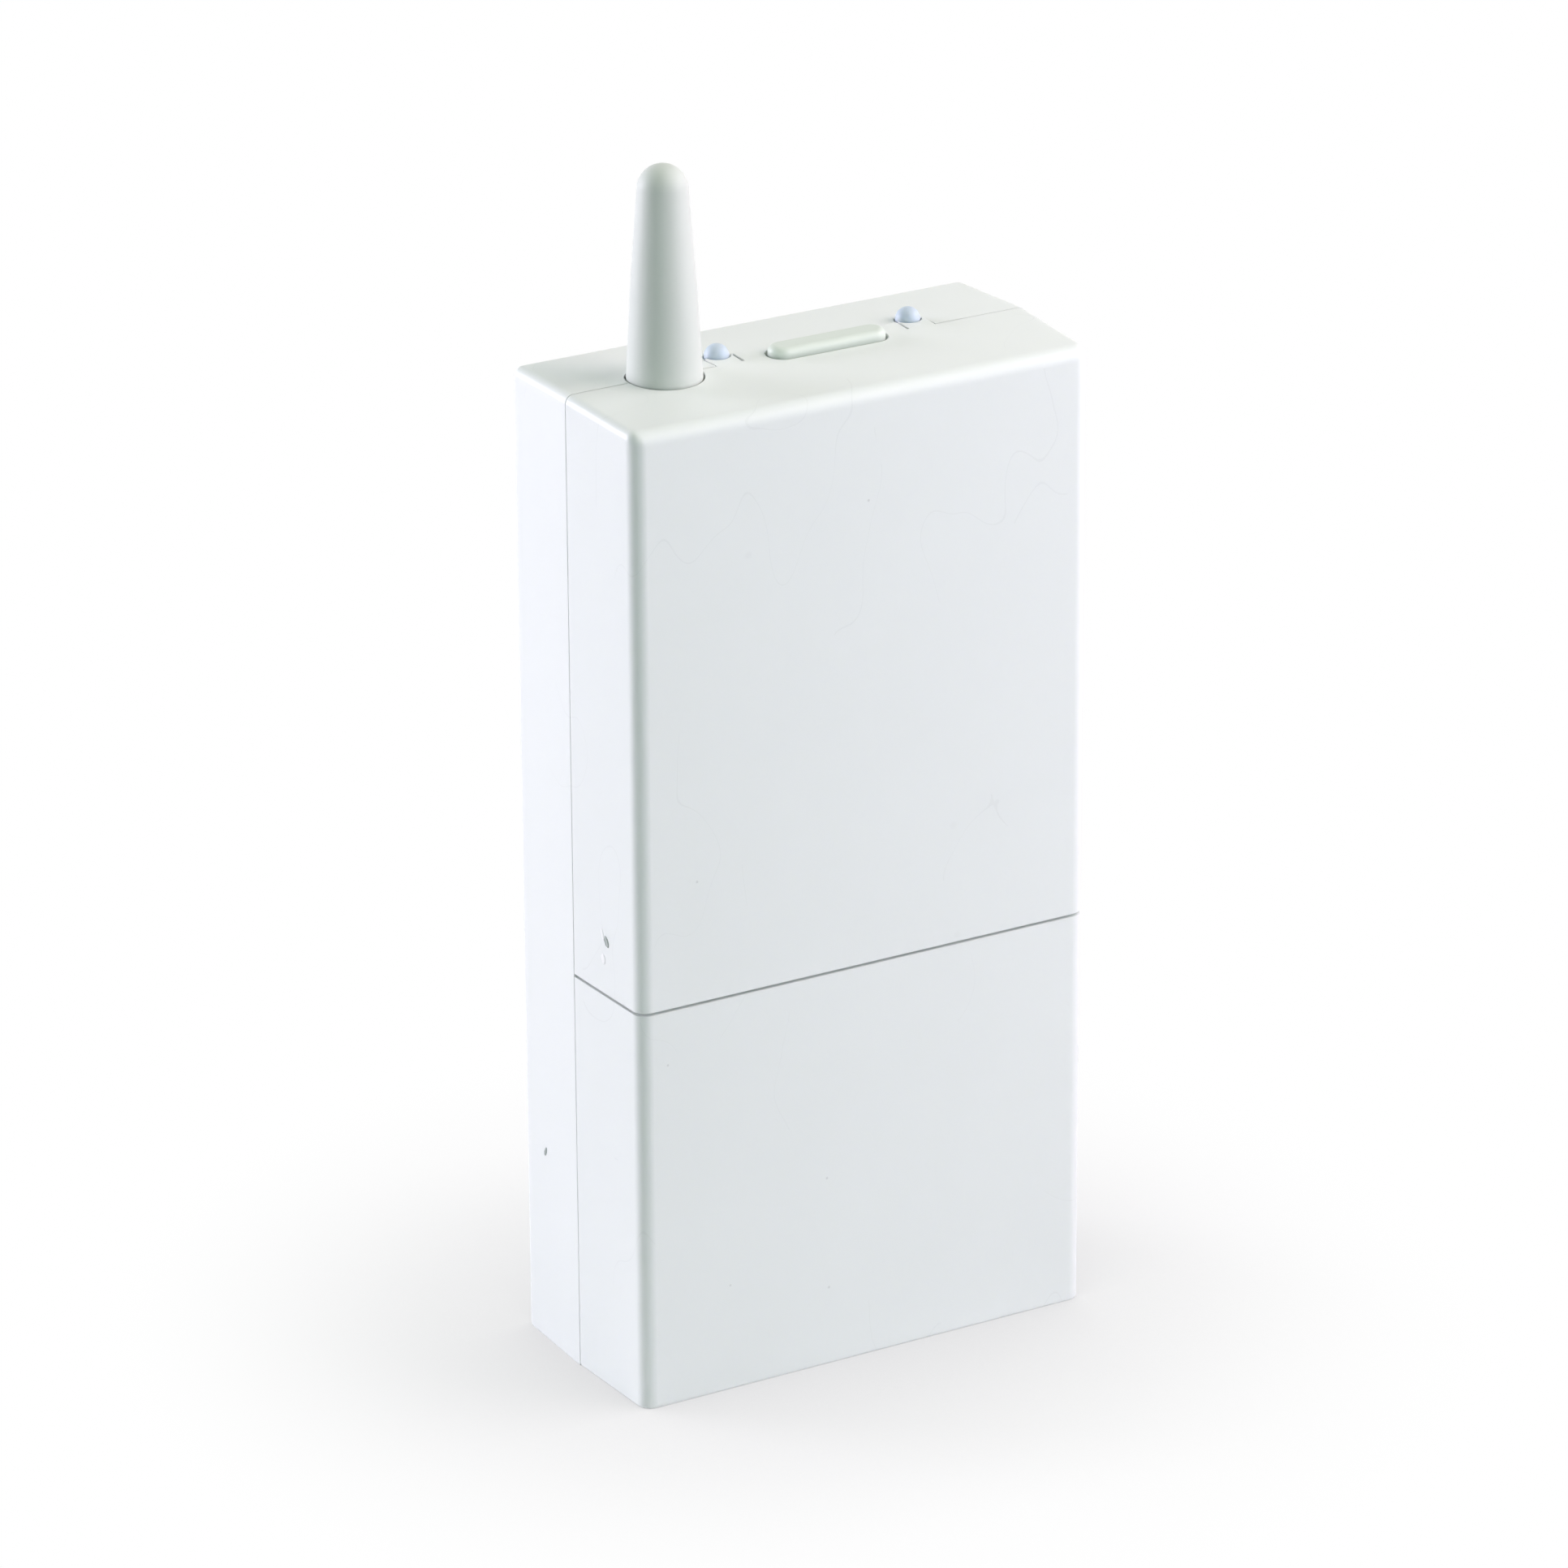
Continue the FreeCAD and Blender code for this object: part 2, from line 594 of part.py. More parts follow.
def housing_holes():
    """Screw holes, wall fixing, cable entry and the spaces for the controls."""
    hole_r = SCREW_R + SCREW_FIT
    low, high = TOP_INNER_Z - WALL, BODY_H + WALL
    holes = [rod_y(hole_r, x, z, BOARD_BACK_Y - PAST, BACK_Y - SKIN) for x, z in board_screw_places()]
    holes += [rod_y(hole_r, x, EAR_Z, PARTING_Y - PAST, PARTING_Y + EAR_SCREW_L) for x in (-EAR_X, EAR_X)]
    holes += [rod_y(hole_r, x, z, CLAMP_SEAT_Y - PAST, BACK_Y - SKIN) for x, z in clamp_screw_places()]
    holes.append(keyhole_form(KEYHOLE_HEAD_R, KEYHOLE_SLOT_R, BACK_INNER_Y - ROOT, FAR))
    holes.append(rod_y(FIXING_R, FIXING_X, FIXING_Z, 0, FAR))
    holes.append(entry_hole(0, FAR, 0.0))
    holes.append(box(TAB_X0 - PARTING_GAP, TAB_X1 + PARTING_GAP, -FAR, TAB_Y + PARTING_GAP, low, FAR))
    holes += [lens_holes(low, high), antenna_hole(ANTENNA_FOOT_Z, high)]
    return holes


def rear_housing():
    """Full-height rear tray with bosses, wall fixing, cable entry and the antenna's seat."""
    pocket, pocket_space = keyhole_pocket()
    tray = fuse_all([tray_shell(), antenna_cradle(), pocket] + housing_bosses())
    for tool in [pocket_space] + housing_holes():
        tray = tray.cut(tool)
    return tray


def antenna_sleeve():
    """Tapered stub with a round tip, hollow for its coil, held by a flange under the top wall."""
    tip_z = BODY_H + ANTENNA_REACH
    round_z = tip_z - ANTENNA_TIP_R

    def at(radius, z):
        return Vector(ANTENNA_X + radius, PARTING_Y, z)

    side = [at(0, ANTENNA_FOOT_Z), at(ANTENNA_FLANGE_R, ANTENNA_FOOT_Z), at(ANTENNA_FLANGE_R, SEAT_Z),
            at(ANTENNA_BASE_R, SEAT_Z), at(ANTENNA_BASE_R, BODY_H),
            at(ANTENNA_MID_R, BODY_H + ANTENNA_MID_RISE), at(ANTENNA_TIP_R, round_z)]
    edges = [Part.LineSegment(a, b).toShape() for a, b in zip(side, side[1:])]
    slant = ANTENNA_TIP_R * math.sqrt(0.5)
    edges.append(Part.Arc(side[-1], at(slant, round_z + slant), at(0, tip_z)).toShape())
    edges.append(Part.LineSegment(at(0, tip_z), side[0]).toShape())
    body = Part.Face(Part.Wire(edges)).revolve(at(0, 0), Vector(0, 0, 1), 360)
    bores = ((ANTENNA_BORE_R, BODY_H + ANTENNA_BORE_STEP), (ANTENNA_BORE_TIP_R, tip_z - ANTENNA_ROOF))
    for radius, top in bores:
        body = body.cut(rod_z(radius, ANTENNA_X, PARTING_Y, ANTENNA_FOOT_Z - PAST, top))
    return body


def bent_wire(points, radius, sides):
    """Wire of even thickness along straight runs, mitred where they meet."""
    runs = [(b - a).normalize() for a, b in zip(points, points[1:])]
    across = Vector(1, 0, 0)
    up = runs[0].cross(across)
    turns = [2 * math.pi * (i + 0.5) / sides for i in range(sides)]
    ring = [points[0] + across * (radius * math.cos(a)) + up * (radius * math.sin(a)) for a in turns]
    rings = [ring]
    for i, run in enumerate(runs):
        plane = run if i == len(runs) - 1 else run + runs[i + 1]
        ring = [p + run * ((points[i + 1] - p).dot(plane) / run.dot(plane)) for p in ring]
        rings.append(ring)
    faces = [flat_face(rings[0]), flat_face(rings[-1])]
    for a, b in zip(rings, rings[1:]):
        faces += joined_rings(a, b)
    return solid_of(faces)


def antenna_coil():
    """Wound wire inside the stub, with a tail that runs down and back to the board."""
    start_z = ANTENNA_FOOT_Z + COIL_LIFT
    height = ANTENNA_REACH - ANTENNA_ROOF - COIL_LIFT
    tail_x = ANTENNA_X + COIL_R
    points = [Vector(tail_x, BOARD_Y, LEAD_Z), Vector(tail_x, PARTING_Y, LEAD_Z)]
    steps = COIL_TURNS * COIL_SIDES
    for i in range(steps + 1):
        turn = 2 * math.pi * i / COIL_SIDES
        points.append(Vector(ANTENNA_X + COIL_R * math.cos(turn), PARTING_Y + COIL_R * math.sin(turn),
                             start_z + height * i / steps))
    return bent_wire(points, COIL_WIRE_R, WIRE_SIDES)


def push_button():
    """Long rounded button with a retaining rim and a stem that meets the switch."""
    top = BODY_H + BUTTON_PROUD
    cap = obround(CONTROLS_X, BUTTON_Y, BUTTON_L, BUTTON_W, SEAT_Z - BUTTON_RIM_T, top)
    cap = cap.makeFillet(BUTTON_EDGE_R, [e for e in cap.Edges if abs(e.BoundBox.ZMin - top) < 0.01])
    rim = obround(CONTROLS_X, BUTTON_Y, BUTTON_L + 2 * BUTTON_RIM, BUTTON_W + 2 * BUTTON_RIM,
                  SEAT_Z - BUTTON_RIM_T, SEAT_Z)
    half = BUTTON_STEM_W / 2
    stem = box(CONTROLS_X - half, CONTROLS_X + half, BUTTON_Y - BUTTON_STEM_T, SWITCH_Y + PLUNGER_R,
               PLUNGER_TOP, SEAT_Z - BUTTON_RIM_T / 2)
    return fuse_all([cap, rim, stem])


def tact_switch():
    """Square switch lying on the board, with its well for the plunger and its four legs."""
    low = SWITCH_TOP - SWITCH_H
    body = block_at(CONTROLS_X, (low + SWITCH_TOP) / 2, SWITCH_W, SWITCH_H, BOARD_Y - SWITCH_T, BOARD_Y)
    body = body.makeChamfer(SWITCH_EDGE, [e for e in body.Edges if e.BoundBox.YLength > SWITCH_T / 2])
    well = rod_z(PLUNGER_R + PLUNGER_FIT, CONTROLS_X, SWITCH_Y,
                 SWITCH_TOP - PLUNGER_DEPTH - BUTTON_TRAVEL - PLUNGER_FIT, SWITCH_TOP + PAST)
    legs = []
    for side in (-1, 1):
        for z in (low + SWITCH_LEG_INSET, SWITCH_TOP - SWITCH_LEG_INSET):
            legs.append(block_at(CONTROLS_X + side * SWITCH_W / 2, z, 2 * SWITCH_LEG_W, SWITCH_LEG_H,
                                 BOARD_Y - SWITCH_LEG_T, BOARD_Y))
    return fuse_all([body] + legs).cut(well)


def switch_plunger():
    """Round plunger of the switch, pressed by the button's stem."""
    return rod_z(PLUNGER_R, CONTROLS_X, SWITCH_Y, SWITCH_TOP - PLUNGER_DEPTH, PLUNGER_TOP)


def square_lead(points):
    """Pieces of a square wire with sharp bends through (x, y, z) points on lines along the axes."""
    half = LEAD_T / 2
    bars = []
    for a, b in zip(points, points[1:]):
        low = [min(p, q) - half for p, q in zip(a, b)]
        high = [max(p, q) + half for p, q in zip(a, b)]
        bars.append(box(low[0], high[0], low[1], high[1], low[2], high[2]))
    return bars


def indicator(x):
    """Domed lens with its flange and two leads bent back to the board."""
    flange_z = BODY_H - LENS_BODY_L
    dome = Part.makeSphere(LENS_R, Vector(x, INDICATOR_Y, BODY_H), Vector(0, 0, 1), 0, 90, 360)
    pieces = [rod_z(LENS_R, x, INDICATOR_Y, flange_z, BODY_H), dome,
              rod_z(LENS_FLANGE_R, x, INDICATOR_Y, flange_z, flange_z + LENS_FLANGE_T)]
    for side in (-1, 1):
        lead_x = x + side * LEAD_PITCH / 2
        pieces += square_lead([(lead_x, LEAD_Y, flange_z), (lead_x, LEAD_Y, LEAD_Z),
                               (lead_x, BOARD_Y - LEAD_T / 2, LEAD_Z)])
    return fuse_all(pieces)


def circuit_board():
    """Stepped board, wide above the barrier and narrow between the cover screws."""
    wide, narrow = BOARD_W / 2, BOARD_NARROW_W / 2
    wide = box(-wide, wide, BOARD_Y, BOARD_BACK_Y, BOARD_STEP_Z, BOARD_TOP)
    narrow = box(-narrow, narrow, BOARD_Y, BOARD_BACK_Y, BOARD_FOOT, BOARD_STEP_Z + PAST)
    board = fuse_all([wide, narrow])
    for x, z in board_screw_places():
        board = board.cut(rod_y(SCREW_R + BOARD_HOLE_FIT, x, z, BOARD_Y - PAST, BOARD_BACK_Y + PAST))
    return board


def screw(x, z, seat_y, length):
    """Screw along Y with a cross recess, its head seated on a face."""
    top = seat_y - SCREW_HEAD_T
    head = rod_y(SCREW_HEAD_R, x, z, top, seat_y)
    shank = flat_sided_rod_y(SCREW_R, SHANK_SIDES, x, z, seat_y - ROOT, seat_y + length)
    recess = fuse_all([block_at(x, z, 2 * RECESS_ARM, RECESS_W, top - PAST, top + RECESS_DEPTH),
                       block_at(x, z, RECESS_W, 2 * RECESS_ARM, top - PAST, top + RECESS_DEPTH)])
    return fuse_all([head, shank]).cut(recess)


def board_screws():
    """Screws that hold the board on two of its bosses."""
    return group(screw(x, z, BOARD_Y, BOARD_SCREW_L) for x, z in board_screw_places())


def cover_screws():
    """Two screws through the front cover's ears, hidden by the terminal cover."""
    return group(screw(x, EAR_Z, PARTING_Y - EAR_T, SCREW_L) for x in (-EAR_X, EAR_X))


def cable_clamp():
    """Arched bar that presses the cable on its saddle."""
    y0 = CLAMP_SEAT_Y - CLAMP_BAR_T
    bar = block_at(ENTRY_X, CLAMP_Z, CLAMP_PITCH + 2 * CLAMP_END, CLAMP_BAR_H, y0, CLAMP_SEAT_Y)
    bar = bar.makeFillet(CLAMP_CORNER_R, [e for e in bar.Edges if e.BoundBox.YLength > CLAMP_BAR_T / 2])
    span = CLAMP_ARCH_W / 2
    radius = (span * span + CLAMP_ARCH_RISE ** 2) / (2 * CLAMP_ARCH_RISE)
    arch = rod_z(radius, ENTRY_X, CLAMP_SEAT_Y - CLAMP_ARCH_RISE + radius, CLAMP_Z - CLAMP_BAR_H,
                 CLAMP_Z + CLAMP_BAR_H)
    bar = bar.cut(arch)
    for x, z in clamp_screw_places():
        bar = bar.cut(rod_y(SCREW_R + CLAMP_HOLE_FIT, x, z, y0 - PAST, CLAMP_SEAT_Y + PAST))
    return bar


def clamp_screws():
    """Two screws of the cable clamp."""
    return group(screw(x, z, CLAMP_SEAT_Y - CLAMP_BAR_T, SCREW_L) for x, z in clamp_screw_places())


def pole_xs():
    """Centres of the terminal poles along X."""
    first = -(POLES - 1) / 2 * POLE_PITCH
    return [first + i * POLE_PITCH for i in range(POLES)]


def terminal_block():
    """Five-pole block with a chamfered front, wire entries below and screw wells in front."""
    half = POLES * POLE_PITCH / 2
    c = BLOCK_CHAMFER
    outline = [Vector(-half, BOARD_Y, BLOCK_LOW), Vector(-half, BOARD_Y, BLOCK_HIGH),
               Vector(-half, BLOCK_TOP_Y + 2 * c, BLOCK_HIGH), Vector(-half, BLOCK_TOP_Y, BLOCK_HIGH - c),
               Vector(-half, BLOCK_TOP_Y, BLOCK_LOW + c), Vector(-half, BLOCK_TOP_Y + 2 * c, BLOCK_LOW)]
    body = flat_face(outline).extrude(Vector(2 * half, 0, 0))
    for x in pole_xs():
        body = body.cut(box(x - WIRE_W / 2, x + WIRE_W / 2, WIRE_Y0, WIRE_Y1,
                            BLOCK_LOW - PAST, CAGE_Z0 + CAGE_H))
        body = body.cut(rod_y(TERMINAL_SCREW_R + TERMINAL_WELL_FIT, x, SCREW_TOP_Z, BLOCK_TOP_Y - PAST,
                              WIRE_Y0 + CAGE_FIT))
    return body


def terminal_clamps():
    """Square metal cages that the wires go into."""
    cages = []
    y0, y1 = WIRE_Y0 + CAGE_FIT, WIRE_Y1 - CAGE_FIT
    half = WIRE_W / 2 - CAGE_FIT
    for x in pole_xs():
        cage = box(x - half, x + half, y0, y1, CAGE_Z0, CAGE_Z0 + CAGE_H)
        hole = box(x - half + CAGE_T, x + half - CAGE_T, y0 + CAGE_T, y1 - CAGE_T,
                   CAGE_Z0 - PAST, CAGE_Z0 + CAGE_H + PAST)
        cages.append(cage.cut(hole))
    return group(cages)


def terminal_screws():
    """Slotted clamp screws, their ends on the cages."""
    screws = []
    top = BLOCK_TOP_Y + TERMINAL_SCREW_SINK
    for x in pole_xs():
        head = rod_y(TERMINAL_SCREW_R, x, SCREW_TOP_Z, top, WIRE_Y0 + CAGE_FIT)
        slot = block_at(x, SCREW_TOP_Z, 2 * POLE_PITCH, TERMINAL_SCREW_SLOT,
                        top - PAST, top + TERMINAL_SLOT_DEPTH)
        screws.append(head.cut(slot))
    return group(screws)


def on_board(size, x, z0, edge):
    """Moulded block standing on the board from a height up, with chamfered outer edges."""
    width, thick, length = size
    body = block_at(x, z0 + length / 2, width, length, BOARD_Y - thick, BOARD_Y)
    return body.makeChamfer(edge, [e for e in body.Edges if e.BoundBox.YMin < BOARD_Y - thick + ROOT])


def relay():
    """Cased power relay with a moulded pip on its front."""
    width, thick, length = RELAY
    nib_x = RELAY_X + width / 2 - RELAY_NIB_INSET
    nib_z = POWER_ROW_Z + length - RELAY_NIB_INSET
    nib = rod_y(RELAY_NIB_R, nib_x, nib_z, BOARD_Y - thick - RELAY_NIB_T, BOARD_Y - thick + PAST)
    return fuse_all([on_board(RELAY, RELAY_X, POWER_ROW_Z, RELAY_EDGE), nib])


def film_capacitor():
    """Boxed film capacitor of the mains dropper."""
    return on_board(FILM_CAP, FILM_CAP_X, POWER_ROW_Z, FILM_CAP_EDGE)


def can_capacitor(radius, length, x, z):
    """Round can capacitor with a chamfered top."""
    can = rod_y(radius, x, z, BOARD_Y - length, BOARD_Y)
    return can.makeChamfer(CAN_EDGE, [e for e in can.Edges if e.BoundBox.YMax < BOARD_Y - length + ROOT])


def electrolytic_capacitors():
    """Bulk and filter capacitors."""
    return group([can_capacitor(BULK_CAP_R, BULK_CAP_L, BULK_CAP_X, BULK_CAP_Z),
                  can_capacitor(FILTER_CAP_R, FILTER_CAP_L, BULK_CAP_X, FILTER_CAP_Z)])


def rod_x(radius, length, x, y, z):
    """Round body along X about its middle."""
    return Part.makeCylinder(radius, length, Vector(x - length / 2, y, z), Vector(1, 0, 0))


def varistor():
    """Lacquered disc on two leads."""
    y = BOARD_Y - VARISTOR_LIFT - VARISTOR_R
    disc = rod_x(VARISTOR_R, VARISTOR_T, VARISTOR_X, y, VARISTOR_Z)
    pieces = [disc.makeChamfer(VARISTOR_EDGE, [e for e in disc.Edges if e.BoundBox.XLength < ROOT])]
    for side in (-1, 1):
        z = VARISTOR_Z + side * VARISTOR_LEAD_PITCH / 2
        pieces += square_lead([(VARISTOR_X, y, z), (VARISTOR_X, BOARD_Y - LEAD_T / 2, z)])
    return fuse_all(pieces)


def axial_reach(length):
    """Length over the bent leads of a part that lies on the board."""
    return length + 2 * AXIAL_LEAD + LEAD_T


def axial_part(radius, length, x, z):
    """Round body along X on two leads bent down to the board."""
    y = BOARD_Y - radius - AXIAL_LIFT
    foot = BOARD_Y - LEAD_T / 2
    span = length / 2 + AXIAL_LEAD
    leads = square_lead([(x - span, foot, z), (x - span, y, z), (x + span, y, z), (x + span, foot, z)])
    return fuse_all([rod_x(radius, length, x, y, z)] + leads)


def fuse_row_xs():
    """Centres of the fuse and the diodes, side by side about the middle of the board."""
    lengths = [FUSE_L] + [DIODE_L] * DIODES
    total = sum(axial_reach(length) for length in lengths) + AXIAL_GAP * DIODES
    start = -total / 2
    centres = []
    for length in lengths:
        centres.append(start + axial_reach(length) / 2)
        start += axial_reach(length) + AXIAL_GAP
    return centres


def mains_fuse():
    """Small axial fuse in the mains feed."""
    return axial_part(FUSE_R, FUSE_L, fuse_row_xs()[0], FUSE_ROW_Z)


def rectifier_diodes():
    """Rectifier diodes in a row beside the fuse."""
    return group(axial_part(DIODE_R, DIODE_L, x, FUSE_ROW_Z) for x in fuse_row_xs()[1:])


def radio_board():
    """Small radio module standing off the main board on its pin strip."""
    width, thick, length = RADIO
    return block_at(RADIO_X, RADIO_ROW_Z + length / 2, width, length, RADIO_BACK_Y - thick, RADIO_BACK_Y)


def radio_pins():
    """Pin strip between the radio module and the main board."""
    z = RADIO_ROW_Z + PIN_STRIP_H / 2
    strip = block_at(RADIO_X, z, PIN_STRIP_W, PIN_STRIP_H, RADIO_BACK_Y, BOARD_Y)
    return strip.makeChamfer(PIN_STRIP_EDGE, [e for e in strip.Edges if e.BoundBox.YLength > RADIO_LIFT / 2])


def radio_can():
    """Screening can over the radio chip."""
    width, thick, length = CAN
    y1 = RADIO_BACK_Y - RADIO[1]
    x, z = RADIO_X + CAN_SHIFT_X, RADIO_ROW_Z + RADIO[2] / 2 + CAN_SHIFT_Z
    can = block_at(x, z, width, length, y1 - thick, y1)
    can = can.makeChamfer(CAN_BEND, [e for e in can.Edges if e.BoundBox.YMax < y1 - thick + ROOT])
    wall = 2 * CAN_SHEET
    return can.cut(block_at(x, z, width - wall, length - wall, y1 - thick + CAN_SHEET, y1 + PAST))


def controller_chip():
    """Surface-mounted controller with two rows of legs."""
    width, thick, length = CHIP
    z = RADIO_ROW_Z + length / 2
    body = block_at(CHIP_X, z, width, length, BOARD_Y - thick, BOARD_Y - CHIP_LIFT)
    body = body.makeChamfer(CHIP_EDGE, [e for e in body.Edges if e.BoundBox.YMax < BOARD_Y - thick + ROOT])
    legs = []
    for i in range(CHIP_LEGS):
        leg_z = z + (i - (CHIP_LEGS - 1) / 2) * CHIP_LEG_PITCH
        legs.append(block_at(CHIP_X, leg_z, width + 2 * CHIP_LEG_L, CHIP_LEG_W,
                             BOARD_Y - CHIP_LEG_T, BOARD_Y))
    under = block_at(CHIP_X, z, width, length, BOARD_Y - CHIP_LIFT, BOARD_Y)
    return fuse_all([body] + [leg.cut(under) for leg in legs])


def build():
    """Every node of the receiver by name."""
    return {
        "rear_housing": rear_housing(),
        "front_cover": front_cover(),
        "terminal_cover": terminal_cover(),
        "antenna_sleeve": antenna_sleeve(),
        "antenna_coil": antenna_coil(),
        "push_button": push_button(),
        "tact_switch": tact_switch(),
        "switch_plunger": switch_plunger(),
        "indicator_left": indicator(INDICATOR_XS[0]),
        "indicator_right": indicator(INDICATOR_XS[1]),
        "circuit_board": circuit_board(),
        "board_screws": board_screws(),
        "cover_screws": cover_screws(),
        "cable_clamp": cable_clamp(),
        "clamp_screws": clamp_screws(),
        "terminal_block": terminal_block(),
        "terminal_clamps": terminal_clamps(),
        "terminal_screws": terminal_screws(),
        "relay": relay(),
        "film_capacitor": film_capacitor(),
        "electrolytic_capacitors": electrolytic_capacitors(),
        "varistor": varistor(),
        "mains_fuse": mains_fuse(),
        "rectifier_diodes": rectifier_diodes(),
        "radio_board": radio_board(),
        "radio_pins": radio_pins(),
        "radio_can": radio_can(),
        "controller_chip": controller_chip(),
    }


os.makedirs("parts", exist_ok=True)
for name, shape in build().items():
    shape.exportStep(os.path.join("parts", name + ".step"))
    print(name, len(shape.Solids), round(shape.Volume, 1), shape.isValid())
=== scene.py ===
# Looks of a wall-hung radio receiver for a heating radiator: satin white moulded case,
# grey-white stub antenna, oblong button and two milky indicator lenses.
# Sizes in the classes are millimetres; meshes are made in metres.

import logging
import math
import random
from collections.abc import Callable, Mapping, Sequence
from dataclasses import dataclass, field
from enum import Enum

import bmesh
import bpy
from mathutils import Matrix, Vector


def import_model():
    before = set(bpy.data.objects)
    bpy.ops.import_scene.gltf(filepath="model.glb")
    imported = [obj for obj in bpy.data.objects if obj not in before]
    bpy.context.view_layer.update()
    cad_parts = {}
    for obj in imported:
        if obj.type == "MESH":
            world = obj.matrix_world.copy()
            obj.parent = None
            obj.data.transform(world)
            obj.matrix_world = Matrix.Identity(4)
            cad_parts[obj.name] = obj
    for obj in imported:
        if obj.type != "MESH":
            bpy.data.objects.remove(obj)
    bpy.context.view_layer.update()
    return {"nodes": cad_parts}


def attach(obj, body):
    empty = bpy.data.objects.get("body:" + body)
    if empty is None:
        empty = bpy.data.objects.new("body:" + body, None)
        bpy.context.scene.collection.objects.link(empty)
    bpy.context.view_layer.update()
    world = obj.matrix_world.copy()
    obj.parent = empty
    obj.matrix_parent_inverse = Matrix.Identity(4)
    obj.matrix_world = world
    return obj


MM = 0.001
LOG = logging.getLogger("receiver")

Point = tuple[float, float, float]
Colour = tuple[float, float, float]


class Value:
    """A number that changes over a surface, carried by one socket and written as plain arithmetic."""

    def __init__(self, recipe: "Recipe", socket: bpy.types.NodeSocket) -> None:
        """Keeps the recipe that adds nodes and the socket that carries the number."""
        self.recipe = recipe
        self.socket = socket

    def math(self, operation: str, *others: "Value | float",
             first: "Value | float | None" = None) -> "Value":
        """Adds one Math node.

        Args:
            operation: Name of the Math node's operation.
            others: Operands after the first one.
            first: First operand, this value where none is given.

        Returns:
            The node's result.
        """
        operands = [self if first is None else first, *others]
        node = self.recipe.node("ShaderNodeMath", {"operation": operation},
                                dict(enumerate(operands)))
        return Value(self.recipe, node.outputs[0])

    def __add__(self, other: "Value | float") -> "Value":
        """Sum."""
        return self.math("ADD", other)

    def __radd__(self, other: float) -> "Value":
        """Sum with a plain number first."""
        return self.math("ADD", other)

    def __sub__(self, other: "Value | float") -> "Value":
        """Difference."""
        return self.math("SUBTRACT", other)

    def __rsub__(self, other: float) -> "Value":
        """Difference from a plain number."""
        return self.math("SUBTRACT", self, first=other)

    def __mul__(self, other: "Value | float") -> "Value":
        """Product."""
        return self.math("MULTIPLY", other)

    def __rmul__(self, other: float) -> "Value":
        """Product with a plain number first."""
        return self.math("MULTIPLY", other)

    def __truediv__(self, other: "Value | float") -> "Value":
        """Quotient."""
        return self.math("DIVIDE", other)

    def __rtruediv__(self, other: float) -> "Value":
        """Quotient of a plain number."""
        return self.math("DIVIDE", self, first=other)

    def __gt__(self, other: "Value | float") -> "Value":
        """One where this value is above the other, and zero elsewhere."""
        return self.math("GREATER_THAN", other)

    def most(self, other: "Value | float") -> "Value":
        """The larger of the two."""
        return self.math("MAXIMUM", other)


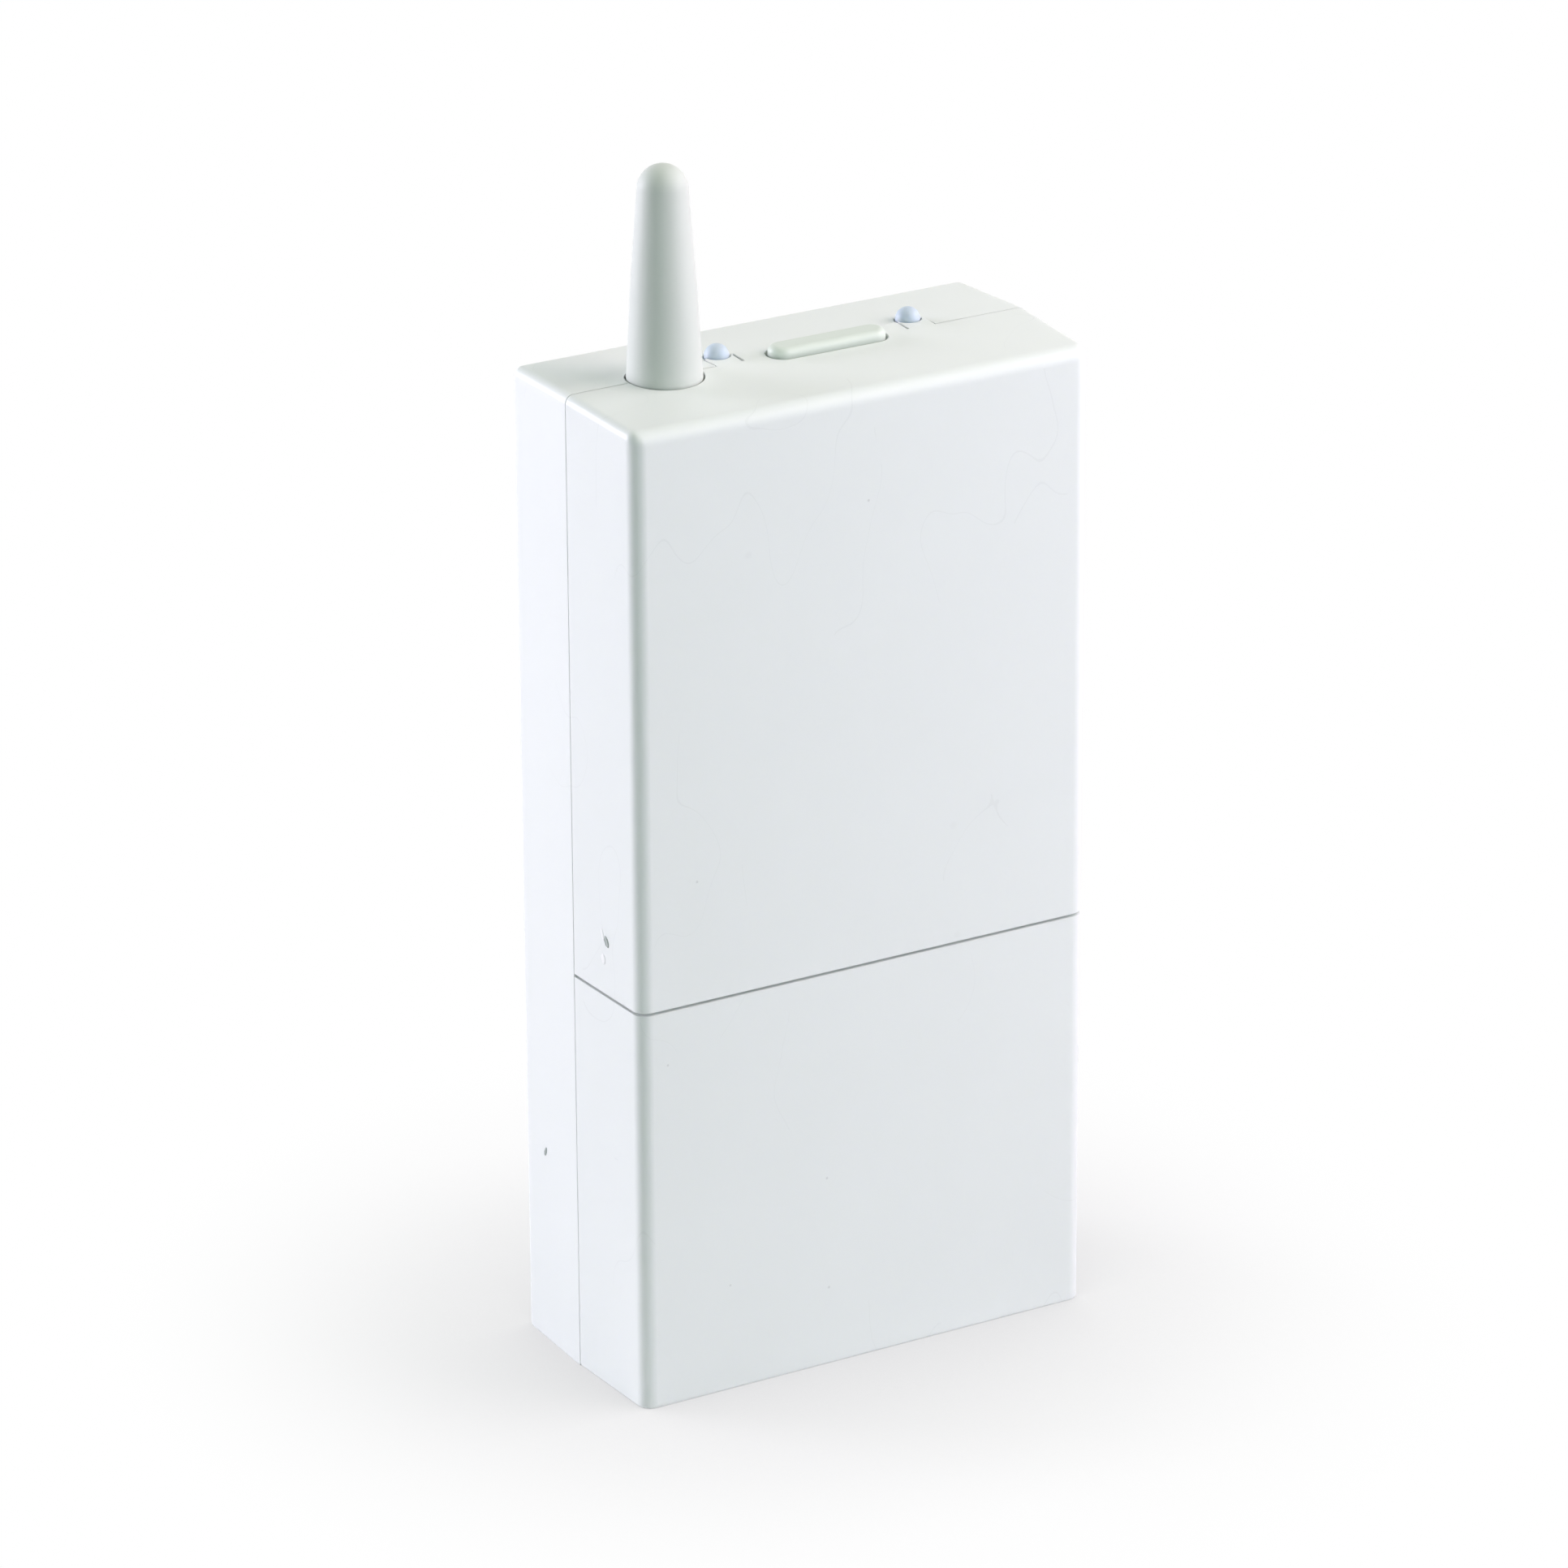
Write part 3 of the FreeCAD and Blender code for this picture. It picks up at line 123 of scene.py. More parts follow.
class Recipe:
    """The node tree of one material or of the world, and the one method that adds nodes to it."""

    def __init__(self, tree: bpy.types.NodeTree) -> None:
        """Empties the tree and keeps it."""
        self.tree = tree
        tree.nodes.clear()

    def node(self, kind: str, settings: Mapping[str, object] | None = None,
             inputs: Mapping[int | str, object] | None = None) -> bpy.types.Node:
        """Adds one node.

        Args:
            kind: Type of the node.
            settings: Properties of the node, set first.
            inputs: Values or links of its sockets, by name or number.

        Returns:
            The node.
        """
        made = self.tree.nodes.new(kind)
        for name, value in (settings or {}).items():
            setattr(made, name, value)
        for key, value in (inputs or {}).items():
            source = value.socket if isinstance(value, Value) else value
            if isinstance(source, bpy.types.NodeSocket):
                self.tree.links.new(source, made.inputs[key])
            else:
                made.inputs[key].default_value = source
        return made

    def place(self) -> bpy.types.NodeSocket:
        """Place on the object, in metres, which moves with its body."""
        return self.node("ShaderNodeTexCoord").outputs["Object"]

    def axis(self, name: str) -> Value:
        """One coordinate of the place on the object."""
        return Value(self, self.node("ShaderNodeSeparateXYZ", None, {0: self.place()}).outputs[name])

    def noise(self, size: float, detail: float = 2.0, roughness: float = 0.5,
              stretch: Point = (1.0, 1.0, 1.0)) -> Value:
        """Cloudy noise round a half.

        Args:
            size: Size of one cloud in millimetres.
            detail: Number of finer layers.
            roughness: Weight of the finer layers.
            stretch: How many times denser the noise is along each axis.

        Returns:
            The noise, from about 0 to 1.
        """
        where = self.node("ShaderNodeVectorMath", {"operation": "MULTIPLY"},
                          {0: self.place(), 1: stretch}).outputs[0]
        made = self.node("ShaderNodeTexNoise", {"noise_dimensions": "3D"},
                         {"Vector": where, "Scale": 1.0 / (size * MM), "Detail": detail,
                          "Roughness": roughness})
        return Value(self, made.outputs[0])

    def spot(self, at: Point, radius: float, soft: float) -> Value:
        """Round spot on the surface.

        Args:
            at: Its centre in millimetres.
            radius: Its radius in millimetres.
            soft: Share of the radius over which it fades out.

        Returns:
            One inside the spot and zero outside.
        """
        centre = tuple(c * MM for c in at)
        away = self.node("ShaderNodeVectorMath", {"operation": "DISTANCE"},
                         {0: self.place(), 1: centre})
        made = self.node("ShaderNodeMapRange", {"interpolation_type": "SMOOTHSTEP"},
                         {"Value": away.outputs["Value"], "From Min": radius * MM * (1.0 - soft),
                          "From Max": radius * MM, "To Min": 1.0, "To Max": 0.0})
        return Value(self, made.outputs[0])

    def mixed(self, factor: Value | float, low: object, high: object) -> bpy.types.NodeSocket:
        """Mix of two colours.

        Args:
            factor: Share of the second colour.
            low: First colour or its socket.
            high: Second colour or its socket.

        Returns:
            The mixed colour's socket.
        """
        made = self.node("ShaderNodeMix", {"data_type": "RGBA"},
                         {0: factor, 6: _with_alpha(low), 7: _with_alpha(high)})
        return made.outputs[2]

    def bumped(self, height: Value, depth: float,
               below: bpy.types.NodeSocket | None = None) -> bpy.types.NodeSocket:
        """Normal of a surface with relief.

        Args:
            height: Relief from 0 to 1.
            depth: Depth of the relief in millimetres.
            below: Normal that the relief is laid on.

        Returns:
            The normal's socket.
        """
        inputs: dict[int | str, object] = {"Height": height, "Distance": depth * MM, "Strength": 1.0}
        if below is not None:
            inputs["Normal"] = below
        return self.node("ShaderNodeBump", None, inputs).outputs[0]


def _with_alpha(colour: object) -> object:
    """Colour with an alpha of one, or the socket as it is."""
    return (*colour, 1.0) if isinstance(colour, tuple) else colour


class Relief(Enum):
    """How the mould was finished, as size and depth of its grain in millimetres."""

    SATIN = (0.10, 0.0022)
    FINE = (0.16, 0.0035)
    POLISHED = (0.6, 0.001)


@dataclass(frozen=True)
class Mark:
    """A scuff, speck or smudge on a moulding."""

    at: Point
    radius: float
    shade: float


@dataclass(frozen=True)
class Hairlines:
    """Faint hairline scratches that show in a few patches only."""

    wander_size: float = 11.0
    wander_stretch: Point = (1.0, 1.0, 0.6)
    half_width: float = 0.0016
    patch_size: float = 17.0
    patch_from: float = 0.58

    def drawn(self, recipe: Recipe) -> Value:
        """Places the hairlines on a surface.

        Args:
            recipe: The material's node tree.

        Returns:
            One on a hairline and zero elsewhere.
        """
        wander = recipe.noise(self.wander_size, 1.0, 0.4, self.wander_stretch)
        patch = recipe.noise(self.patch_size, 0.0, 0.5)
        on_line = (wander - 0.5).math("ABSOLUTE").math("LESS_THAN", self.half_width)
        return on_line * (patch > self.patch_from)


@dataclass(frozen=True)
class Moulding:
    """Moulded thermoplastic with a fine grain and softened edges."""

    name: str
    colour: Colour
    roughness: float = 0.45
    relief: Relief = Relief.SATIN
    edge: float = 0.0
    gloss: float = 0.5
    tone: float = 0.012
    depth_glow: float = 0.0
    scratches: float = 0.0
    marks: tuple[Mark, ...] = ()
    hairlines: Hairlines = Hairlines()
    cloud_size: float = 14.0
    rough_wander: float = 0.06
    mark_fade: float = 0.7
    edge_samples: int = 4
    glow_radius: Point = (1.0, 1.0, 0.9)
    glow_scale: float = 0.5

    def material(self) -> bpy.types.Material:
        """Material of this finish, made once."""
        return made_once(self.name, self._fill)

    def _fill(self, recipe: Recipe) -> bpy.types.NodeSocket:
        """Writes the finish.

        Args:
            recipe: The material's node tree.

        Returns:
            The finished shader.
        """
        size, depth = self.relief.value
        grain = recipe.noise(size, 3.0, 0.6)
        cloud = recipe.noise(self.cloud_size, 2.0, 0.5)
        dark = tuple(c * (1.0 - 2.0 * self.tone) for c in self.colour)
        colour = recipe.mixed(cloud, self.colour, dark)
        height = grain
        if self.scratches:
            lines = self.hairlines.drawn(recipe)
            colour = recipe.mixed(lines * self.scratches, colour, (0.0, 0.0, 0.0))
            height = height - lines
        for mark in self.marks:
            stained = tuple(c * mark.shade for c in self.colour)
            colour = recipe.mixed(recipe.spot(mark.at, mark.radius, self.mark_fade), colour, stained)
        below = None
        if self.edge:
            below = recipe.node("ShaderNodeBevel", {"samples": self.edge_samples},
                                {"Radius": self.edge * MM}).outputs[0]
        made = recipe.node("ShaderNodeBsdfPrincipled", None, {
            "Base Color": colour,
            "Roughness": self.roughness + (cloud - 0.5) * self.rough_wander,
            "Normal": recipe.bumped(height, depth, below),
            "Specular IOR Level": self.gloss,
            "Subsurface Weight": self.depth_glow,
            "Subsurface Radius": self.glow_radius,
            "Subsurface Scale": self.glow_scale * MM})
        return made.outputs[0]


@dataclass(frozen=True)
class MilkyLens:
    """Cloudy moulded lens that glows softly with the light that falls on it."""

    name: str
    colour: Colour
    roughness: float = 0.42
    gloss: float = 0.35
    haze_size: float = 0.9
    haze_depth: float = 0.002
    haze_rough: float = 0.05
    haze_pale: float = 1.06
    depth_glow: float = 0.4
    glow_radius: Point = (0.5, 0.6, 0.8)
    glow_scale: float = 0.8

    def material(self) -> bpy.types.Material:
        """Material of this finish, made once."""
        return made_once(self.name, self._fill)

    def _fill(self, recipe: Recipe) -> bpy.types.NodeSocket:
        """Writes the finish.

        Args:
            recipe: The material's node tree.

        Returns:
            The finished shader.
        """
        haze = recipe.noise(self.haze_size, 2.0, 0.5)
        pale = tuple(min(1.0, c * self.haze_pale) for c in self.colour)
        colour = recipe.mixed(haze, self.colour, pale)
        made = recipe.node("ShaderNodeBsdfPrincipled", None, {
            "Base Color": colour,
            "Roughness": self.roughness + haze * self.haze_rough,
            "Specular IOR Level": self.gloss,
            "Subsurface Weight": self.depth_glow,
            "Subsurface Radius": self.glow_radius,
            "Subsurface Scale": self.glow_scale * MM,
            "Normal": recipe.bumped(haze, self.haze_depth)})
        return made.outputs[0]


@dataclass(frozen=True)
class PlatedMetal:
    """Plated or drawn metal with fine tool lines."""

    name: str
    colour: Colour
    roughness: float = 0.3
    line: float = 0.15
    line_depth: float = 0.004
    cloud_size: float = 2.0
    dull: float = 0.78
    dull_share: float = 0.6
    rough_wander: float = 0.2

    def material(self) -> bpy.types.Material:
        """Material of this finish, made once."""
        return made_once(self.name, self._fill)

    def _fill(self, recipe: Recipe) -> bpy.types.NodeSocket:
        """Writes the finish.

        Args:
            recipe: The material's node tree.

        Returns:
            The finished shader.
        """
        lines = recipe.noise(self.line, 3.0, 0.6)
        cloud = recipe.noise(self.cloud_size, 2.0, 0.5)
        dull = tuple(c * self.dull for c in self.colour)
        made = recipe.node("ShaderNodeBsdfPrincipled", None, {
            "Base Color": recipe.mixed(cloud * self.dull_share, self.colour, dull),
            "Metallic": 1.0,
            "Roughness": self.roughness + (cloud - 0.5) * self.rough_wander,
            "Normal": recipe.bumped(lines, self.line_depth)})
        return made.outputs[0]


@dataclass(frozen=True)
class Laminate:
    """Glass-fibre board under green solder mask, with its copper runs."""

    name: str
    mask: Colour
    track: Colour
    pitch: float = 1.27
    width: float = 0.5
    roughness: float = 0.34
    run_gloss: float = 0.06
    run_size: float = 9.0
    run_stretch: Point = (1.0, 1.0, 0.25)
    run_from: float = 0.52
    weave_size: float = 0.35
    weave_stretch: Point = (1.0, 1.0, 4.0)
    weave_dark: float = 0.85
    weave_height: float = 0.25
    relief_depth: float = 0.03

    def material(self) -> bpy.types.Material:
        """Material of this finish, made once."""
        return made_once(self.name, self._fill)

    def _fill(self, recipe: Recipe) -> bpy.types.NodeSocket:
        """Writes the finish.

        Args:
            recipe: The material's node tree.

        Returns:
            The finished shader.
        """
        weave = recipe.noise(self.weave_size, 1.0, 0.5, self.weave_stretch)
        across = (recipe.axis("X") / (self.pitch * MM)).math("FRACT")
        along = recipe.noise(self.run_size, 0.0, 0.5, self.run_stretch)
        runs = (across > 1.0 - self.width) * (along > self.run_from)
        woven = recipe.mixed(weave, self.mask, tuple(c * self.weave_dark for c in self.mask))
        made = recipe.node("ShaderNodeBsdfPrincipled", None, {
            "Base Color": recipe.mixed(runs, woven, self.track),
            "Roughness": self.roughness - runs * self.run_gloss,
            "Normal": recipe.bumped(runs + weave * self.weave_height, self.relief_depth)})
        return made.outputs[0]


def made_once(name: str, fill: Callable[[Recipe], bpy.types.NodeSocket]) -> bpy.types.Material:
    """Material by name, written the first time it is asked for.

    Args:
        name: Name of the material.
        fill: Method that writes its nodes and returns the shader's socket.

    Returns:
        The material.
    """
    known = bpy.data.materials.get(name)
    if known is not None:
        return known
    material = bpy.data.materials.new(name)
    material.use_nodes = True
    recipe = Recipe(material.node_tree)
    recipe.node("ShaderNodeOutputMaterial", None, {"Surface": fill(recipe)})
    return material


GATE_STAINS = (
    Mark((-26.8, -5.95, 50.4), 1.6, 0.97),
    Mark((-26.8, 7.7, 21.6), 1.1, 0.97),
)
FACE_MARKS = (
    Mark((-13.6, -12.5, 91.6), 0.55, 0.96),
    Mark((10.5, -12.5, 57.5), 0.6, 0.965),
    Mark((11.0, -12.5, 45.2), 0.6, 0.96),
    Mark((0.4, -12.5, 94.8), 0.2, 0.8),
    Mark((-19.8, -12.5, 57.7), 0.2, 0.82),
    Mark((-23.4, -12.5, 38.3), 0.18, 0.82),
    Mark((-4.7, -12.5, 21.3), 0.2, 0.82),
    Mark((-4.5, -12.5, 8.8), 0.22, 0.84),
    Mark((-16.3, -12.5, 11.9), 0.18, 0.84),
)

CASE_WHITE = Moulding("satin_white_case", (0.86, 0.89, 0.88), 0.46, Relief.SATIN, 0.16,
                      depth_glow=0.25, scratches=0.04, marks=GATE_STAINS + FACE_MARKS)
# Gate nicks: rougher, grainier torn plastic whose darker colour is painted shade of the nick's shaded
# side.
TORN_WHITE_PAINTED_SHADE = Moulding("torn_gate_plastic_painted_shade", (0.60, 0.65, 0.63), 0.6, Relief.FINE, tone=0.2)
# Gate pip and lip: polished plastic whose paler colour than the case is a painted highlight of their
# lit side.
PIP_WHITE_PAINTED_HIGHLIGHT = Moulding("gate_pip_plastic_painted_highlight", (0.93, 0.94, 0.94), 0.3, Relief.POLISHED)
INNER_WHITE = Moulding("white_inner_moulding", (0.84, 0.85, 0.84), 0.5, Relief.FINE, 0.1)
ANTENNA_GREY = Moulding("grey_white_antenna", (0.705, 0.74, 0.705), 0.52, Relief.SATIN, 0.12, 0.35)
BUTTON_GREY = Moulding("pale_grey_button", (0.707, 0.766, 0.707), 0.42, Relief.SATIN, 0.12)
MILKY_BLUE = MilkyLens("milky_blue_lens", (0.56, 0.64, 0.74))
BLACK_MOULDING = Moulding("black_moulding", (0.035, 0.035, 0.038), 0.42, Relief.FINE, 0.08)
RELAY_BLACK = Moulding("relay_case", (0.045, 0.05, 0.065), 0.3, Relief.FINE, 0.15)
FILM_YELLOW = Moulding("film_capacitor_box", (0.62, 0.44, 0.07), 0.32, Relief.POLISHED, 0.15)
CAN_SLEEVE = Moulding("shrink_sleeve", (0.03, 0.035, 0.06), 0.25, Relief.POLISHED, 0.1)
BLUE_LACQUER = Moulding("dipped_lacquer", (0.04, 0.13, 0.42), 0.22, Relief.POLISHED, 0.1)
FUSE_BROWN = Moulding("fuse_case", (0.28, 0.17, 0.08), 0.35, Relief.FINE, 0.1)
TERMINAL_GREEN = Moulding("terminal_moulding", (0.07, 0.30, 0.15), 0.42, Relief.FINE, 0.12)
BOARD_GREEN = Laminate("board_laminate_green", (0.03, 0.17, 0.07), (0.06, 0.27, 0.11))
ZINC_STEEL = PlatedMetal("zinc_plated_screws", (0.66, 0.68, 0.70), 0.3)
SPRING_WIRE = PlatedMetal("tinned_wire", (0.70, 0.66, 0.58), 0.28)
BRASS = PlatedMetal("plated_brass", (0.78, 0.60, 0.30), 0.32)
TINNED_SHEET = PlatedMetal("tinned_sheet_can", (0.74, 0.75, 0.76), 0.24)


def dress(node: bpy.types.Object, finish: Moulding | MilkyLens | PlatedMetal | Laminate) -> None:
    """Gives every material slot of a piece one finish.

    Args:
        node: The piece.
        finish: The finish.
    """
    material = finish.material()
    if not node.material_slots:
        node.data.materials.append(material)
    for slot in node.material_slots:
        slot.material = material


def finished_mesh(mesh: bmesh.types.BMesh, name: str) -> bpy.types.Object:
    """Smoothly shaded object from a mesh in the making.

    Args:
        mesh: The mesh, which is freed.
        name: Name of the piece.

    Returns:
        The object, in the scene.
    """
    bmesh.ops.recalc_face_normals(mesh, faces=mesh.faces)
    for face in mesh.faces:
        face.smooth = True
    data = bpy.data.meshes.new(name)
    mesh.to_mesh(data)
    mesh.free()
    piece = bpy.data.objects.new(name, data)
    bpy.context.scene.collection.objects.link(piece)
    return piece


@dataclass
class CaseShells:
    """The three mouldings of the case."""

    nodes: Mapping[str, bpy.types.Object]
    names: tuple[str, ...] = ("rear_housing", "front_cover", "terminal_cover")

    def build(self) -> list[bpy.types.Object]:
        """Dresses the shells.

        Returns:
            The dressed pieces.
        """
        for name in self.names:
            dress(self.nodes[name], CASE_WHITE)
        return [self.nodes[name] for name in self.names]


@dataclass(frozen=True)
class Scar:
    """One gate scar on a side of the case: where a runner was broken off the moulding."""

    name: str
    at: Point
    out: Point
    half_length: float
    half_width: float
    lean: float
    profile: tuple[tuple[float, float], ...]
    seed: int


@dataclass
class GateScars:
    """Nicks, a torn lip and a pip that the mould's gates left on the left side."""

    draft: float = math.tan(math.radians(2.0))
    segments: int = 20
    jag: float = 0.16
    lift_wander: float = 0.5
    nick_profile: tuple[tuple[float, float], ...] = (
        (0.0, 0.015), (0.3, 0.012), (0.5, 0.02), (0.66, 0.09), (0.8, 0.07), (1.0, -0.03))
    pip_profile: tuple[tuple[float, float], ...] = (
        (0.0, 0.035), (0.35, 0.034), (0.6, 0.028), (0.8, 0.016), (1.0, -0.02))

    def scars(self) -> tuple[tuple[Scar, Moulding], ...]:
        """The scars with their finishes, in the order they are made."""
        front, rear = (-1.0, -self.draft, 0.0), (-1.0, self.draft, 0.0)
        return (
            # The nicks take the darker plastic as painted shade.
            (Scar("gate_nick_front", (-26.778, -6.05, 50.3), front, 0.66, 0.40, 0.55,
                  self.nick_profile, 3), TORN_WHITE_PAINTED_SHADE),
            # The lip and the pip take the paler plastic as painted highlight.
            (Scar("gate_lip_front", (-26.80, -5.3, 50.8), front, 0.85, 0.24, 0.35,
                  self.pip_profile, 4), PIP_WHITE_PAINTED_HIGHLIGHT),
            (Scar("gate_pip_front", (-26.80, -5.4, 48.2), front, 0.62, 0.46, 0.3,
                  self.pip_profile, 5), PIP_WHITE_PAINTED_HIGHLIGHT),
            (Scar("gate_nick_rear", (-26.748, 7.7, 21.6), rear, 0.6, 0.24, -0.35,
                  self.nick_profile, 8), TORN_WHITE_PAINTED_SHADE),
        )

    def build(self) -> list[bpy.types.Object]:
        """Makes and dresses the scars.

        Returns:
            The finished pieces.
        """
        made = []
        for scar, finish in self.scars():
            piece = self._mound(scar)
            dress(piece, finish)
            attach(piece, "case")
            made.append(piece)
        return made

    def _mound(self, scar: Scar) -> bpy.types.Object:
        """Low uneven mound or crater on the face; its outermost ring is even and lies sunk in the case.

        Args:
            scar: The scar.

        Returns:
            Its mesh object.
        """
        dice = random.Random(scar.seed)
        out = Vector(scar.out).normalized()
        up = Vector((0.0, 0.0, 1.0))
        along = (up * math.cos(scar.lean) + out.cross(up) * math.sin(scar.lean)).normalized()
        across = out.cross(along)
        reach = [1.0 + self.jag * (dice.random() - 0.5) * 2.0 for _ in range(self.segments)]
        mesh = bmesh.new()
        rings = []
        for share, rise in scar.profile[1:]:
            ring = []
            for i in range(self.segments):
                turn = 2.0 * math.pi * i / self.segments
                uneven, lift = 1.0, rise
                if share < 1.0:
                    uneven = reach[i]
                    lift = rise * (1.0 + self.lift_wander * (dice.random() - 0.5))
                place = (Vector(scar.at)
                         + along * (math.cos(turn) * scar.half_length * share * uneven)
                         + across * (math.sin(turn) * scar.half_width * share * uneven)
                         + out * lift)
                ring.append(mesh.verts.new(place * MM))
            rings.append(ring)
        middle = mesh.verts.new((Vector(scar.at) + out * scar.profile[0][1]) * MM)
        for i in range(self.segments):
            mesh.faces.new((middle, rings[0][i], rings[0][(i + 1) % self.segments]))
        for inner, outer in zip(rings, rings[1:]):
            for i in range(self.segments):
                j = (i + 1) % self.segments
                mesh.faces.new((inner[i], outer[i], outer[j], inner[j]))
        mesh.faces.new(list(reversed(rings[-1])))
        return finished_mesh(mesh, scar.name)


@dataclass
class StubAntenna:
    """The stub antenna with the wound wire inside it."""

    nodes: Mapping[str, bpy.types.Object]

    def build(self) -> list[bpy.types.Object]:
        """Dresses the sleeve and the wire.

        Returns:
            The dressed pieces.
        """
        dress(self.nodes["antenna_sleeve"], ANTENNA_GREY)
        dress(self.nodes["antenna_coil"], SPRING_WIRE)
        return [self.nodes["antenna_sleeve"], self.nodes["antenna_coil"]]


@dataclass
class ControlPanel:
    """Button, indicators and the switch behind them."""

    nodes: Mapping[str, bpy.types.Object]

    def build(self) -> list[bpy.types.Object]:
        """Dresses the controls.

        Returns:
            The dressed pieces.
        """
        finishes = {
            "push_button": BUTTON_GREY, "switch_plunger": BLACK_MOULDING, "tact_switch": BLACK_MOULDING,
            "indicator_left": MILKY_BLUE, "indicator_right": MILKY_BLUE,
        }
        for name, finish in finishes.items():
            dress(self.nodes[name], finish)
        return [self.nodes[name] for name in finishes]


@dataclass
class CircuitPack:
    """The circuit board with what stands on it."""

    nodes: Mapping[str, bpy.types.Object]

    def build(self) -> list[bpy.types.Object]:
        """Dresses the board and its parts.

        Returns:
            The dressed pieces.
        """
        finishes = {
            "circuit_board": BOARD_GREEN, "radio_board": BOARD_GREEN, "relay": RELAY_BLACK,
            "film_capacitor": FILM_YELLOW, "electrolytic_capacitors": CAN_SLEEVE,
            "varistor": BLUE_LACQUER, "mains_fuse": FUSE_BROWN, "rectifier_diodes": BLACK_MOULDING,
            "radio_pins": BLACK_MOULDING, "radio_can": TINNED_SHEET, "controller_chip": BLACK_MOULDING,
            "board_screws": ZINC_STEEL,
        }
        for name, finish in finishes.items():
            dress(self.nodes[name], finish)
        return [self.nodes[name] for name in finishes]


@dataclass
class TerminalBay:
    """Mains terminals, cable clamp and the screws behind the lower cover."""

    nodes: Mapping[str, bpy.types.Object]

    def build(self) -> list[bpy.types.Object]:
        """Dresses the terminals and the clamp.

        Returns:
            The dressed pieces.
        """
        finishes = {
            "terminal_block": TERMINAL_GREEN, "terminal_clamps": BRASS, "terminal_screws": ZINC_STEEL,
            "cable_clamp": INNER_WHITE, "clamp_screws": ZINC_STEEL, "cover_screws": ZINC_STEEL,
        }
        for name, finish in finishes.items():
            dress(self.nodes[name], finish)
        return [self.nodes[name] for name in finishes]


@dataclass(frozen=True)
class Lamp:
    """A square soft lamp that faces the middle of the case."""

    name: str
    towards: Point
    distance: float
    width: float
    power: float
    colour: Colour = (1.0, 1.0, 1.0)

    def hang(self, target: Vector) -> bpy.types.Object:
        """Makes the lamp.

        Args:
            target: Point in metres that it faces.

        Returns:
            The lamp.
        """
        data = bpy.data.lights.new(self.name, "AREA")
        data.shape = "SQUARE"
        data.size = self.width * MM
        data.energy = self.power
        data.color = self.colour
        lamp = bpy.data.objects.new(self.name, data)
        bpy.context.scene.collection.objects.link(lamp)
        way = Vector(self.towards).normalized()
        lamp.location = target + way * self.distance * MM
        lamp.rotation_mode = "QUATERNION"
        lamp.rotation_quaternion = (-way).to_track_quat("-Z", "Y")
        return lamp


